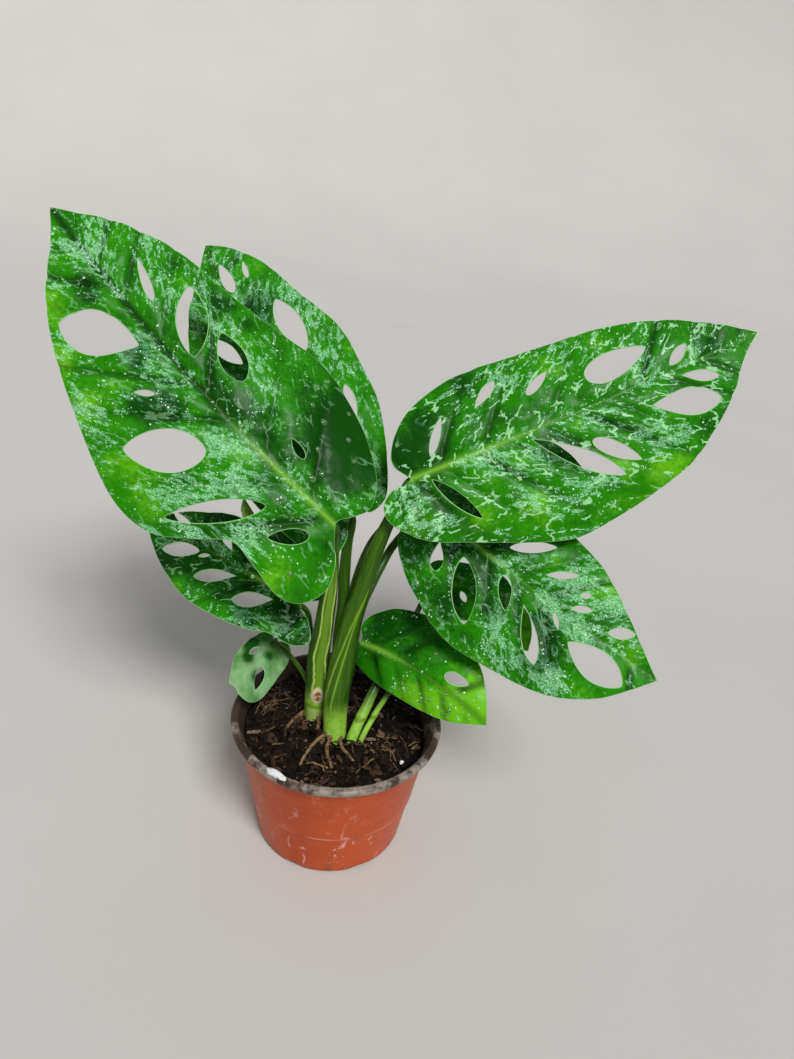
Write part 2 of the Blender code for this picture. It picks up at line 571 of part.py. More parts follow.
def root_route(root):
    """A root's points with their heights measured from the soil's surface."""
    return [(x, y, float(soil_height(x, y)) + lift, radius) for x, y, lift, radius in root]


def make_soil():
    """Fills the pot's inside a gap away from its wall, with the stems' and roots' own holes cut in it."""
    cutters = [
        tube("hole", STEM_LEFT, sides=16, steps=3, extra=STEM_GAP),
        tube("hole", STEM_CENTRE, sides=12, extra=STEM_GAP),
        tube("hole", SHOOT_THICK, sides=8, extra=STEM_GAP),
        tube("hole", SHOOT_THIN, sides=8, extra=STEM_GAP),
    ]
    cutters += [tube("hole", root_route(root), sides=6, extra=STEM_GAP) for root in ROOTS_LEFT + ROOTS_CENTRE]
    inner_top, inner_step, inner_low, inner_floor = pot_profile()[12:16]
    low = [(inner_floor[0] - GAP, FLOOR + GAP), (inner_low[0] - GAP, FLOOR + 0.6 + GAP),
           (inner_step[0] - GAP, STEP_HEIGHT)]
    share = (SOIL_LEVEL - SOIL_DIP - STEP_HEIGHT) / (inner_top[1] - STEP_HEIGHT)
    rim = low[2][0] + share * (inner_top[0] - GAP - low[2][0])
    points = [(0.0, 0.0, FLOOR + GAP)]
    rows = []
    for radius, height in low:
        rows.append([(radius * math.cos(a), radius * math.sin(a), height)
                     for a in np.linspace(0, 2 * math.pi, SOIL_SEGMENTS, endpoint=False)])
    for ring in range(SOIL_RINGS):
        radius = (rim - 0.6) * (1 - ring / SOIL_RINGS)
        row = []
        for angle in np.linspace(0, 2 * math.pi, SOIL_SEGMENTS, endpoint=False):
            x, y = radius * math.cos(angle), radius * math.sin(angle)
            row.append((x, y, float(soil_height(x, y))))
        rows.append(row)
    for row in rows:
        points += row
    points.append((0.0, 0.0, float(soil_height(0.0, 0.0))))
    last = len(points) - 1
    faces = []
    for i in range(SOIL_SEGMENTS):
        j = (i + 1) % SOIL_SEGMENTS
        faces.append((0, 1 + j, 1 + i))
        for ring in range(len(rows) - 1):
            down, up = 1 + ring * SOIL_SEGMENTS, 1 + (ring + 1) * SOIL_SEGMENTS
            faces.append((down + i, down + j, up + j))
            faces.append((down + i, up + j, up + i))
        top = 1 + (len(rows) - 1) * SOIL_SEGMENTS
        faces.append((top + i, top + j, last))
    soil = new_object("soil", points, faces, SOIL_LOOK)
    combine(soil, cutters, "DIFFERENCE")
    return soil


def make_stem_left():
    """The big left leaf's stalk with its sheath, and the stalks and roots that grow from it."""
    stem = tube("stem_left", stalk_to("leaf_left_upper", STEM_LEFT, 2.2), sides=16, steps=3, ridge=sheath)
    others = [
        tube("stalk", stalk_to("leaf_left_lower", STALK_LEFT_LOWER, 1.5), sides=8),
        tube("stalk", stalk_to("leaf_left_small", STALK_LEFT_SMALL, 1.0), sides=8),
        tube("stalk", STALK_ROLLED, sides=8),
    ]
    others += [tube("root", root_route(root), sides=6) for root in ROOTS_LEFT]
    combine(stem, others, "UNION")


def make_stem_centre():
    """The main stem, which runs on as the right upper leaf's stalk, with the stalks and roots on it."""
    stem = tube("stem_centre", stalk_to("leaf_right_upper", STEM_CENTRE, 2.3), sides=12)
    others = [
        tube("stalk", stalk_to("leaf_left_back", STALK_LEFT_BACK, 2.0)),
        tube("stalk", stalk_to("leaf_right_middle", STALK_RIGHT_MIDDLE, 1.8), sides=8),
        tube("stalk", stalk_to("leaf_back_upper", STALK_BACK_UPPER, 1.3), sides=8),
        tube("stalk", stalk_to("leaf_right_lower", STALK_RIGHT_LOWER, 1.5), sides=8),
    ]
    others += [tube("root", root_route(root), sides=6) for root in ROOTS_CENTRE]
    combine(stem, others, "UNION")


def main():
    for obj in list(bpy.data.objects):
        bpy.data.objects.remove(obj)
    make_pot()
    make_soil()
    make_stem_left()
    make_stem_centre()
    tube("shoot_thick", stalk_to("leaf_back_lower", SHOOT_THICK, 1.2), sides=8)
    tube("shoot_thin", stalk_to("leaf_back_small", SHOOT_THIN, 1.0), sides=8)
    tube("leaf_rolled", ROLLED_LEAF, LEAF_LOOK, sides=8)
    for name in LEAVES:
        make_leaf(name)


main()
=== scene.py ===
"""The looks of the potted Swiss cheese vine: fine leaves, stems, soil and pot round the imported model.

Lengths are in millimetres and are scaled to metres where a mesh is made; the stage, the lamps and the
camera are placed in metres. +Z is up and the plant's front faces -Y. The camera stands where the photograph
was taken from.
"""

import json
import math

import bmesh
import bpy
import numpy as np
from mathutils import Matrix, Vector, noise
from mathutils.geometry import delaunay_2d_cdt

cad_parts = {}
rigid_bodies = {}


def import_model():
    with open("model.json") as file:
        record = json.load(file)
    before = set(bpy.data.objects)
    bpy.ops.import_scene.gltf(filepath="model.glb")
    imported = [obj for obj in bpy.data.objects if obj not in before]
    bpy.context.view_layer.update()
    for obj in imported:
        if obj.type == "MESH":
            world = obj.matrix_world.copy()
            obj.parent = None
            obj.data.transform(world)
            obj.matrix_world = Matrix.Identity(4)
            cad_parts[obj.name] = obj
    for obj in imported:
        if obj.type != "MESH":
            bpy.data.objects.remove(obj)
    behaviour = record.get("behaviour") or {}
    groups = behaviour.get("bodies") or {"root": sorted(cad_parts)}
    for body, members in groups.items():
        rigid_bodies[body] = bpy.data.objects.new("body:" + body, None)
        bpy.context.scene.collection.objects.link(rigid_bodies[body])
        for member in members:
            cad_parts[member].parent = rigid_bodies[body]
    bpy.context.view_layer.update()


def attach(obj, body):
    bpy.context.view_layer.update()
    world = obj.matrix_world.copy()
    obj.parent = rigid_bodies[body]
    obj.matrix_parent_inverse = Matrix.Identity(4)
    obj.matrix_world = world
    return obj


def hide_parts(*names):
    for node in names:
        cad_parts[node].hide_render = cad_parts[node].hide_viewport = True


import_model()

MM = 0.001

# Colours
# Painted shade for the leaves' furrows and midrib grooves
LEAF_FURROW_SHADE = (0.0012, 0.026, 0.0006)
# Leaf greens from painted shade to painted light, mixed with random tone
LEAF_DARK = (0.003, 0.062, 0.001)
LEAF_GREEN = (0.020, 0.235, 0.001)
LEAF_BRIGHT = (0.135, 0.490, 0.008)
LEAF_UNDER = (0.060, 0.200, 0.035)
UNDER_BRIGHT = (0.090, 0.270, 0.055)
LEAF_PALE = (0.24, 0.42, 0.20)
YOUNG_GREEN = (0.16, 0.42, 0.015)
YOUNG_YELLOW = (0.34, 0.62, 0.05)
# Painted highlight on the leaves' edges
RIM_PAINTED_HIGHLIGHT = (0.32, 0.66, 0.25)
RIB_PALE = (0.20, 0.47, 0.045)
# The water film's painted glare, in painted light and in painted shade
FILM_PAINTED_GLARE = (0.38, 0.90, 0.46)
FILM_PAINTED_GLARE_SHADED = (0.065, 0.310, 0.120)
# White of the painted glints
PAINTED_GLINT_WHITE = (0.80, 0.95, 0.88)
# Painted highlight along the threads of water
THREAD_PAINTED_HIGHLIGHT = (0.42, 0.84, 0.42)
DROP_GREEN = (0.30, 0.66, 0.34)
PEARL_GREEN = (0.22, 0.66, 0.12)
PEARL_PALE = (0.50, 0.86, 0.40)
STEM_GREEN = (0.020, 0.078, 0.001)
STEM_BRIGHT = (0.070, 0.175, 0.004)
STEM_SHADE = (0.012, 0.048, 0.001)
STEM_FOOT = (0.300, 0.560, 0.060)
STEM_STRIP = (0.150, 0.290, 0.020)
STEM_YELLOW = (0.38, 0.54, 0.13)
SCAR_BROWN = (0.26, 0.070, 0.022)
SCAR_PALE = (0.62, 0.56, 0.33)
ROOT_TAN = (0.27, 0.175, 0.080)
ROOT_DARK = (0.085, 0.050, 0.024)
SOIL_BLACK = (0.0030, 0.0018, 0.0012)
SOIL_BROWN = (0.026, 0.014, 0.008)
BARK_BROWN = (0.095, 0.050, 0.027)
BARK_PALE = (0.230, 0.160, 0.100)
PERLITE_WHITE = (0.78, 0.82, 0.80)
PERLITE_GREY = (0.36, 0.36, 0.32)
POT_ORANGE = (0.550, 0.088, 0.018)
POT_DEEP = (0.430, 0.062, 0.011)
POT_WARM = (0.620, 0.120, 0.030)
POT_STAIN = (0.20, 0.060, 0.026)
LIP_BROWN = (0.050, 0.032, 0.022)
# Lip dust, also used for the painted highlight on the lip's front
LIP_DUST_AND_SHEEN = (0.370, 0.310, 0.270)
SCUFF = (0.80, 0.46, 0.40)
FLOOR_PALE = (0.58, 0.565, 0.54)
FLOOR_SHADE = tuple(0.96 * part for part in FLOOR_PALE)

# Stage, lamps and camera: lengths in metres, angles in degrees
STAGE_FLAT = 1.7
STAGE_BEND = 2.2
STAGE_SIDES = 72
STAGE_DROP = 0.0005
SKY = (0.97, 0.985, 1.0)
SKY_POWER = 0.28
AIM = (0.0, 0.0, 0.18)
KEY_PLACE = (0.30, -0.60, 1.0)
KEY_POWER = 2.65
KEY_ANGLE = 20
SIDE_PLACE = (-1.0, -0.5, 0.9)
SIDE_POWER = 0.9
SIDE_SIZE = 0.9
CAMERA_PLACE = (0.022, -0.352, 0.380)
CAMERA_PITCH = 27.2
CAMERA_ROLL = 6.4
LENS = 27.03
SENSOR = 36.0

# Pot and soil, as in the model's construction
RIM_RADIUS = 59.5
POT_HEIGHT = 78.0
LIP_HEIGHT = 4.6
LIP_LOW = POT_HEIGHT - LIP_HEIGHT
LIP_OVERHANG = 5.5
LIP_WIDTH = 4.5
WALL = 1.6
FLOOR = 4.6
BASE_RADIUS = 43.0
STEP_HEIGHT = 31.0
STEP_RADIUS = 48.0
STEP_WIDTH = 0.8
POT_SEGMENTS = 180
CORNER = 0.9
DRAINS = 7
FIRST_DRAIN = -59.0
NOTCH_WIDTH = 15.0
NOTCH_HEIGHT = 2.3
NOTCH_DEPTH = 8.0
DRAIN_RADIUS = 3.2
SOIL_LEVEL = 69.0
SOIL_DIP = 6.0
MOUND = 3.0
MOUND_RADIUS = 14.0
SOIL_GRID = 1.0
SOIL_DEPTH = 58.0
BARK_SCRAPS = 900
FIBRES = 84
FIBRE_POINTS = 7
TUFTS = [(-40, 10), (-6, -44), (30, -14)]

# Leaves and stems
BLADE = 0.6
BIG_LEAF = 110
FULL_LEAF = 180
KEEL = 1.5
KEEL_HALF_WIDTH = 2.2
VEIN_BEND = 0.002
PUFF = 0.08
EDGE_SPACING = 1.1
RIB_ROWS = (0.0, 0.8, 1.6, 2.6)
BEAD = 0.36
BEAD_TURNS = (40, 90, 140)
HOLE_ROUNDNESS = 0.66
STALK_REACH = 14
SEAT_GAP = 0.45
STEM_VOXEL = 0.5
STRIP_EDGES = (-13, 44)
SHEATH_RING = 80.5
SEAM_PITCH = 22.0

# Leaves. base is where the stalk meets the blade and tip its point; roll turns the blade about the line
# between them and arch bends it along that line. fold is the angle of the left and the right half at the
# midrib, curl how far each turns from there out to half, the usual half width. bow shifts the midrib
# sideways and wave ripples the edges; veins, the usual gap between side veins, sets how far the blade puffs
# up between them. left and right are the outline's points along and across the midrib. Each hole has its two
# ends, its width and the share of its length at which it is widest.
LEAVES = {
    "leaf_left_upper": dict(
        base=(-9, 3, 196), tip=(-167, 63, 324), roll=46, arch=20, fold=(6, 4), curl=(-24, -42), half=60,
        bow=6, wave=2.2, veins=22,
        left=[(-5, 6), (-14, 13), (-21, 25), (-18, 39), (-6, 45), (14, 42), (28, 41), (41, 53), (57, 66),
            (77, 68), (105, 60), (140, 46), (172, 30), (198, 9)],
        right=[(1, -4), (-3, -11), (-5, -20), (3, -32), (22, -47), (45, -57), (67, -61), (90, -56),
            (121, -46), (157, -38), (183, -24), (201, -9)],
        holes=[((141, -11), (164, -19), 5, 0.35), ((107, -8), (137, -31), 16, 0.5),
            ((83, -18), (109, -27), 14, 0.45), ((128, 8), (161, 31), 23, 0.57),
            ((105, 18), (112, 25), 3.5, 0.4), ((68, 19), (95, 47), 22, 0.45),
            ((30, 17), (58, 56), 12, 0.45), ((5, 13), (18, 28), 9, 0.4), ((35, -13), (47, -16), 5, 0.4)]),
    "leaf_left_back": dict(
        base=(-3, 31, 189), tip=(-103, 114, 306), roll=32, arch=26, fold=(6, 6), curl=(-24, -30), half=50,
        bow=9, wave=1.8, veins=20,
        left=[(-3, 4), (-10, 9), (-15, 18), (-12, 28), (2, 34), (24, 38), (52, 40), (84, 37), (116, 29),
            (140, 20), (158, 9)],
        right=[(2, -4), (-3, -10), (0, -20), (10, -29), (28, -41), (52, -52), (84, -57), (101, -54),
            (123, -42), (146, -31), (164, -16)],
        holes=[((139, -6), (160, -4), 7, 0.4), ((144, -16), (156, -17), 3.5, 0.4),
            ((92, -29), (126, -26), 15, 0.5), ((45, -34), (66, -39), 6.5, 0.6),
            ((60, -12), (80, -22), 6, 0.5), ((36, 9), (58, 26), 10, 0.5), ((66, 8), (90, 25), 12, 0.5),
            ((98, 6), (120, 17), 9, 0.5), ((18, -10), (30, -24), 6, 0.5)]),
    "leaf_right_upper": dict(
        base=(26, 20, 218), tip=(197, 73, 300), roll=-57, arch=16, fold=(-2, 6), curl=(-34, -22), half=50,
        bow=-2, wave=2.0, veins=21,
        left=[(-1, 3), (-5, 10), (-3, 18), (6, 29), (17, 37), (36, 44), (52, 45), (67, 43), (90, 41),
            (113, 39), (134, 34), (155, 26), (175, 15)],
        right=[(-3, -2), (-11, -2), (-18, -8), (-17, -18), (-4, -32), (16, -41), (35, -49), (56, -57),
            (72, -60), (98, -57), (119, -52), (137, -47), (154, -37), (170, -24), (184, -9)],
        holes=[((14, 7), (27, 25), 5, 0.45), ((44, 22), (60, 33), 6, 0.6), ((71, 18), (86, 26), 5.5, 0.4),
            ((102, 14), (138, 17), 15, 0.36), ((145, 3), (158, 10), 6.5, 0.5),
            ((148, -4), (167, -12), 6.5, 0.6), ((127, -12), (164, -23), 15, 0.6),
            ((92, -16), (112, -35), 8, 0.4), ((64, -4), (102, -39), 10, 0.55),
            ((10, -4), (26, -32), 7, 0.5)]),
    "leaf_right_middle": dict(
        base=(44, 40, 190), tip=(162, -20, 140), roll=-50, arch=22, fold=(4, 6), curl=(-34, -24), half=45,
        bow=-2, wave=1.6, veins=17,
        left=[(-2, 4), (-8, 9), (-12, 18), (-6, 28), (8, 34), (28, 38), (48, 39), (67, 37), (85, 33),
            (104, 23), (122, 12), (135, 4)],
        right=[(-1, -3), (-8, -7), (-12, -16), (-8, -26), (6, -37), (20, -43), (34, -48), (50, -50),
            (71, -47), (92, -43), (108, -37), (123, -26), (132, -15)],
        holes=[((10, -10), (18, -25), 8, 0.65), ((26, -9), (48, -37), 14, 0.5),
            ((49, -3), (61, -18), 7.5, 0.4), ((66, -9), (89, -31), 9, 0.6), ((81, -3), (88, -9), 3, 0.4),
            ((95, -11), (130, -13), 17, 0.55), ((66, 10), (80, 21), 4.5, 0.5),
            ((42, 10), (62, 26), 7, 0.45), ((86, 12), (91, 16), 4, 0.5), ((86, 4), (96, 10), 4, 0.5),
            ((108, 5), (120, 13), 6.5, 0.5)]),
    "leaf_left_lower": dict(
        base=(-26, 18, 137), tip=(-124, 61, 156), roll=38, arch=22, fold=(8, 4), curl=(-24, -24), half=35,
        bow=0, wave=1.4, veins=15,
        left=[(-2, 3), (-9, 7), (-15, 16), (-7, 22), (7, 23), (18, 27), (39, 30), (60, 29), (80, 21),
            (97, 11)],
        right=[(-1, -3), (-8, -8), (-11, -16), (-4, -23), (10, -28), (30, -31), (50, -29), (71, -23),
            (90, -14), (101, -7)],
        holes=[((79, -6), (99, -11), 5, 0.35), ((67, 3), (88, 12), 10, 0.5), ((60, 2), (66, 6), 3, 0.5),
            ((50, -6), (62, -13), 5, 0.6), ((39, 5), (61, 17), 8, 0.6), ((14, 6), (34, 18), 9, 0.6),
            ((22, -8), (36, -20), 7, 0.5)]),
    "leaf_right_lower": dict(
        base=(8, 22, 113), tip=(81, -19, 98), roll=-44, arch=40, fold=(2, -16), curl=(-10, -26), half=28,
        bow=4, wave=1.0, veins=14,
        left=[(0, 3), (-4, 8), (-4, 15), (1, 21), (9, 26), (23, 29), (40, 29), (55, 26), (68, 21),
            (78, 12)],
        right=[(1, -3), (-3, -7), (1, -11), (13, -16), (26, -19), (43, -19), (57, -17), (69, -13),
            (79, -6)],
        holes=[((54, 6), (68, 10), 7, 0.4)]),
    "leaf_left_small": dict(
        base=(-41, 23, 107), tip=(-60, -7, 97), roll=216, arch=-20, fold=(4, 4), curl=(20, 20), half=18,
        bow=0, wave=0.6, veins=9,
        left=[(-1, 2), (-3, 5), (1, 8), (14, 10), (25, 8), (33, 3)],
        right=[(-1, -2), (-5, -5), (-4, -11), (3, -15), (14, -17), (28, -19), (35, -16), (37, -9),
            (36, -4)],
        holes=[((17, -6), (29, -13), 6.5, 0.4), ((10, 3), (18, 4), 3.5, 0.5)]),
    "leaf_back_upper": dict(
        base=(43, 59, 190), tip=(128, 69, 210), roll=-56, arch=14, fold=(4, 4), curl=(-12, -12), half=28,
        bow=0, wave=1.0, veins=14,
        left=[(-2, 3), (-8, 8), (-8, 16), (2, 24), (22, 30), (44, 31), (61, 27), (76, 18)],
        right=[(-2, -3), (-8, -8), (-8, -15), (2, -21), (20, -25), (42, -26), (60, -21), (76, -12)],
        holes=[((36, 6), (50, 19), 7, 0.5), ((22, -6), (34, -16), 6, 0.5), ((46, -5), (58, -13), 5, 0.5)]),
    "leaf_back_lower": dict(
        base=(47, 47, 145), tip=(93, 32, 147), roll=-50, arch=14, fold=(4, 4), curl=(-12, -12), half=20,
        bow=0, wave=0.8, veins=11,
        left=[(-1, 2), (-5, 6), (-2, 11), (12, 13), (26, 13), (38, 11), (45, 5)],
        right=[(-1, -2), (-6, -6), (-5, -13), (5, -18), (20, -19), (34, -15), (43, -7)],
        holes=[((17, -3), (22, -9), 4, 0.5)]),
    "leaf_back_small": dict(
        base=(78, 41, 142), tip=(101, 11, 128), roll=-38, arch=14, fold=(4, 4), curl=(-12, -12), half=14,
        bow=0, wave=0.5, veins=9,
        left=[(-1, 2), (-4, 5), (-2, 9), (10, 12), (24, 12), (34, 7)],
        right=[(-1, -2), (-4, -5), (-2, -9), (10, -12), (24, -12), (34, -7)],
        holes=[]),
}

# Side veins on the left and the right half: where each starts on the midrib, how far it leans to the tip.
VEINS = {
    "leaf_left_upper": (
        [(-6, -0.4), (5.5, 0.72), (31, 0.8), (73, 0.88), (97, 1.0), (140, 0.95), (160, 1.0), (182, 1.0)],
        [(-4, -0.3), (17, 0.7), (48, 0.75), (88, 0.95), (122, 0.9), (150, 0.85), (172, 0.8)]),
    "leaf_left_back": (
        [(-4, -0.4), (8, 0.6), (24, 0.85), (48, 0.85), (82, 0.85), (112, 0.8), (134, 0.7)],
        [(-4, -0.3), (16, 0.75), (44, 0.8), (64, 0.85), (120, 0.85), (150, 0.6)]),
    "leaf_right_upper": (
        [(-3, -0.1), (16, 0.7), (40, 0.75), (76, 0.8), (127, 0.8), (154, 0.8), (170, 0.6)],
        [(-3, -0.2), (2, 0.45), (18, 0.62), (36, 0.75), (53, 0.9), (72, 0.95), (92, 1.0), (107, 1.0),
         (138, 1.33), (162, 1.0)]),
    "leaf_right_middle": (
        [(-3, 0.1), (10, 0.6), (30, 0.75), (54, 0.7), (72, 0.75), (96, 0.7), (116, 0.6)],
        [(-3, 0.1), (13, 0.58), (37, 0.65), (56, 0.7), (73, 0.8), (100, 0.9), (126, 0.6)]),
    "leaf_left_lower": (
        [(-4, 0.1), (4, 0.8), (26, 0.8), (52, 0.85), (84, 0.7)],
        [(-3, 0.1), (12, 0.75), (36, 0.8), (62, 0.8), (92, 0.5)]),
    "leaf_right_lower": (
        [(-2, 0.2), (10, 0.7), (24, 0.75), (40, 0.8), (62, 0.7)],
        [(-2, 0.2), (10, 0.7), (24, 0.75), (40, 0.8), (56, 0.7)]),
    "leaf_left_small": (
        [(0, 0.4), (5, 0.6), (20, 0.6), (29, 0.5)],
        [(0, 0.4), (8, 0.7), (24, 0.7), (31, 0.5)]),
    "leaf_back_upper": (
        [(-3, 0.1), (12, 0.7), (25, 0.75), (46, 0.8), (62, 0.7)],
        [(-3, 0.1), (12, 0.7), (34, 0.75), (56, 0.7)]),
    "leaf_back_lower": (
        [(0, 0.5), (11, 0.6), (22, 0.6), (33, 0.6)],
        [(0, 0.4), (10, 0.6), (21, 0.7), (32, 0.6)]),
    "leaf_back_small": (
        [(0, 0.5), (8, 0.6), (17, 0.6), (26, 0.6)],
        [(0, 0.5), (8, 0.6), (17, 0.6), (26, 0.6)]),
}

# Water and painted light. film sets how much of a leaf the water film covers, threads how strong the
# painted highlights on the threads of water are and drops the number of small drops. The sun number
# paints light and shade over the whole leaf: lighter and more yellow-green above 0, darker below.
# groove is how far the midrib sinks past its raised part and how much painted shade lies along it; seed
# gives the leaf its own pattern. wet and light are soft round spots: wet gives more or less film, and
# light paints light where its weight is above 0 and shade where it is below: along, across, radius and
# weight. Small dark ones are dents too, with their painted shade.
WET = {
    "leaf_left_upper": dict(
        seed=3, film=0.435, painted_sun=0.05, groove=1.0, threads=0.3, drops=520,
        wet=[(62, 48, 14, 0.14), (48, 17, 13, 0.2), (40, 12, 10, 0.12), (115, 50, 14, 0.08),
            (118, 5, 11, 0.1), (139, -14, 10, 0.12), (126, 9, 8, 0.1), (186, 3, 14, 0.14),
            (60, -25, 12, 0.05), (27, 30, 9, 0.1), (34, -44, 26, -0.3), (20, -20, 12, -0.22),
            (-5, 42, 16, -0.16), (100, -47, 12, -0.08), (165, 20, 12, -0.05)],
        light=[(32, -48, 32, -1.15), (22, -22, 18, -0.6), (74, -48, 12, 0.25), (0, 42, 18, 0.35),
            (122, 52, 14, 0.55), (145, 42, 13, 0.55), (168, 28, 12, 0.5), (90, 55, 14, 0.35),
            (60, 60, 12, 0.3), (195, 4, 12, 0.3), (103, 20, 7, -0.9), (93, 15, 7, -0.8), (108, 29, 6, -0.7),
            (128, 10, 6, -0.9), (121, 15, 5, -0.7), (150, -30, 6, -0.5), (136, -37, 6, -0.6),
            (122, -40, 6, -0.6), (105, -42, 5, -0.5), (170, 9, 5, -0.6), (161, 13, 5, -0.6),
            (76, -7, 9, -0.5), (60, -8, 8, -0.5), (92, -6, 8, -0.4)]),
    "leaf_left_back": dict(
        seed=11, film=0.45, painted_sun=0.0, groove=0.7, threads=0.15, drops=240,
        wet=[(150, -5, 14, 0.12), (122, -40, 12, 0.1), (60, -44, 14, 0.06), (40, -40, 12, 0.08)],
        light=[(112, -40, 13, 0.35), (150, -20, 12, 0.3), (80, -50, 12, 0.2), (118, -14, 8, -0.8),
            (127, -12, 6, -0.7), (90, -22, 9, -0.3), (10, -18, 12, -0.5)]),
    "leaf_right_upper": dict(
        seed=21, film=0.415, painted_sun=0.05, groove=0.3, threads=1.0, drops=260,
        wet=[(70, -38, 17, 0.13), (39, 31, 8, 0.12), (72, 27, 10, 0.12), (60, 35, 8, 0.08),
            (95, 32, 10, 0.1), (115, 0, 14, 0.1), (135, 3, 12, 0.08), (125, -25, 12, 0.18),
            (-8, -15, 10, 0.12), (40, 0, 14, 0.06), (112, -52, 13, -0.2), (135, -42, 10, -0.1),
            (10, 20, 14, -0.32), (20, 38, 10, -0.1)],
        light=[(12, 24, 18, -0.7), (2, 10, 12, -0.5), (45, 42, 13, -0.5), (100, -45, 15, 0.6),
            (122, -46, 13, 0.6), (50, -38, 15, 0.35), (20, -30, 14, 0.25), (-6, -20, 10, 0.3),
            (168, 8, 12, -0.6), (90, 30, 10, 0.3), (72, -9, 6, -1.1), (80, -16, 6, -1.1),
            (87, -23, 5, -0.9), (95, -40, 5, -0.6), (108, -47, 5, -0.6), (150, -32, 9, -0.3),
            (145, -12, 6, -0.3), (120, 30, 9, 0.2)]),
    "leaf_right_middle": dict(
        seed=33, film=0.43, painted_sun=-0.05, groove=0.3, threads=0.3, drops=280,
        wet=[(75, 3, 12, 0.16), (88, -2, 10, 0.16), (100, -3, 11, 0.14), (86, 14, 9, 0.1),
            (103, 18, 10, 0.12), (60, -27, 6, 0.2), (63, -38, 7, 0.2), (75, -43, 8, 0.2),
            (84, -29, 7, 0.12), (98, -30, 9, 0.2), (106, -33, 8, 0.16), (30, -41, 9, 0.1),
            (12, -20, 8, 0.12), (52, 10, 9, 0.14), (120, -26, 8, -0.25), (132, 0, 9, -0.2),
            (42, -30, 6, -0.12)],
        light=[(118, -24, 11, 0.45), (126, 5, 11, 0.35), (66, -47, 9, 0.35), (83, -52, 9, 0.3),
            (102, 28, 11, 0.4), (90, 20, 9, 0.2), (78, -12, 6, -1.1), (85, -20, 6, -1.1),
            (91, -28, 5, -0.9), (38, -5, 8, -0.7), (45, -14, 6, -0.8), (51, -23, 6, -0.5),
            (15, -8, 9, -0.5), (40, 12, 8, -0.4), (10, -25, 8, 0.2)]),
    "leaf_left_lower": dict(
        seed=44, film=0.39, painted_sun=-0.55, groove=0.5, threads=0.5, drops=170,
        wet=[(0, 19, 8, 0.1), (48, 24, 8, 0.08), (22, 22, 8, 0.1), (93, 8, 10, 0.1), (60, -4, 8, 0.06)],
        light=[(50, 26, 9, 0.7), (70, 25, 8, 0.8), (30, 26, 8, 0.5), (90, 10, 8, 0.3), (10, 24, 7, 0.4)]),
    "leaf_right_lower": dict(
        seed=52, film=0.27, painted_sun=0.0, groove=0.6, threads=0.0, drops=110,
        wet=[(62, -6, 9, 0.14), (52, -5, 8, 0.1), (64, 20, 6, 0.1), (35, -12, 7, 0.1)],
        light=[(12, 20, 16, -0.45), (40, 24, 14, -0.4), (10, 6, 10, -0.3), (32, 8, 10, -0.2),
            (80, 0, 14, 1.4), (64, -10, 13, 1.2), (44, -12, 10, 0.9), (74, 14, 8, 1.1), (56, 13, 6, 0.4)]),
    "leaf_left_small": dict(
        seed=63, film=0.34, painted_sun=0.1, groove=0.2, threads=0.0, drops=10,
        wet=[],
        light=[(12, 8, 6, -1.1), (20, 3, 4, -0.9), (23, -8, 5, -1.0), (10, -4, 4, -0.8)]),
    "leaf_back_upper": dict(
        seed=71, film=0.47, painted_sun=-0.1, groove=0.3, threads=0.1, drops=70,
        wet=[],
        light=[]),
    "leaf_back_lower": dict(
        seed=83, film=0.42, painted_sun=0.1, groove=0.3, threads=0.1, drops=24,
        wet=[],
        light=[]),
    "leaf_back_small": dict(
        seed=91, film=0.2, painted_sun=0.9, groove=0.3, threads=0.0, drops=8,
        wet=[],
        light=[]),
}

# The big clear drops: place along and across the midrib, and radius.
PEARLS = {
    "leaf_left_upper": [
        (27, 12, 1.5), (25, -9, 1.9), (24, -14, 1.4), (38, -10, 1.2), (34, -22, 1.5), (43, -35, 1.7),
        (28, -38, 1.6), (18, -31, 1.4), (48, -22, 1.1), (53, -37, 1.3), (38, -50, 1.4), (99, 21, 0.9),
        (96, 24, 0.8), (66, 5, 0.8), (72, 3, 0.7), (58, -47, 1.0), (-3, 33, 1.3), (8, 47, 1.0),
        (60, 35, 0.8), (112, 44, 0.8)],
    "leaf_left_back": [
        (84, -46, 0.9), (60, -30, 1.1), (46, -28, 0.8), (110, -42, 0.8), (30, -30, 1.0)],
    "leaf_right_upper": [
        (48, -14, 1.9), (50, -18, 1.2), (36, -26, 1.6), (46, -27, 1.7), (58, -24, 1.0), (20, -36, 0.9),
        (102, 31, 1.0), (96, 33, 0.9), (28, 31, 0.8), (88, -41, 0.8)],
    "leaf_right_middle": [
        (31, -39, 0.9), (36, -41, 0.8), (66, -33, 0.9), (56, 4, 0.9), (98, 6, 0.8)],
    "leaf_left_lower": [
        (16, 19, 1.1), (44, 21, 0.9), (58, 24, 0.8)],
    "leaf_right_lower": [
        (44, 13, 1.1), (48, 12, 1.0), (54, -10, 1.2), (50, -14, 1.0), (66, -8, 1.3), (64, -12, 1.2),
        (60, -2, 1.1)],
}

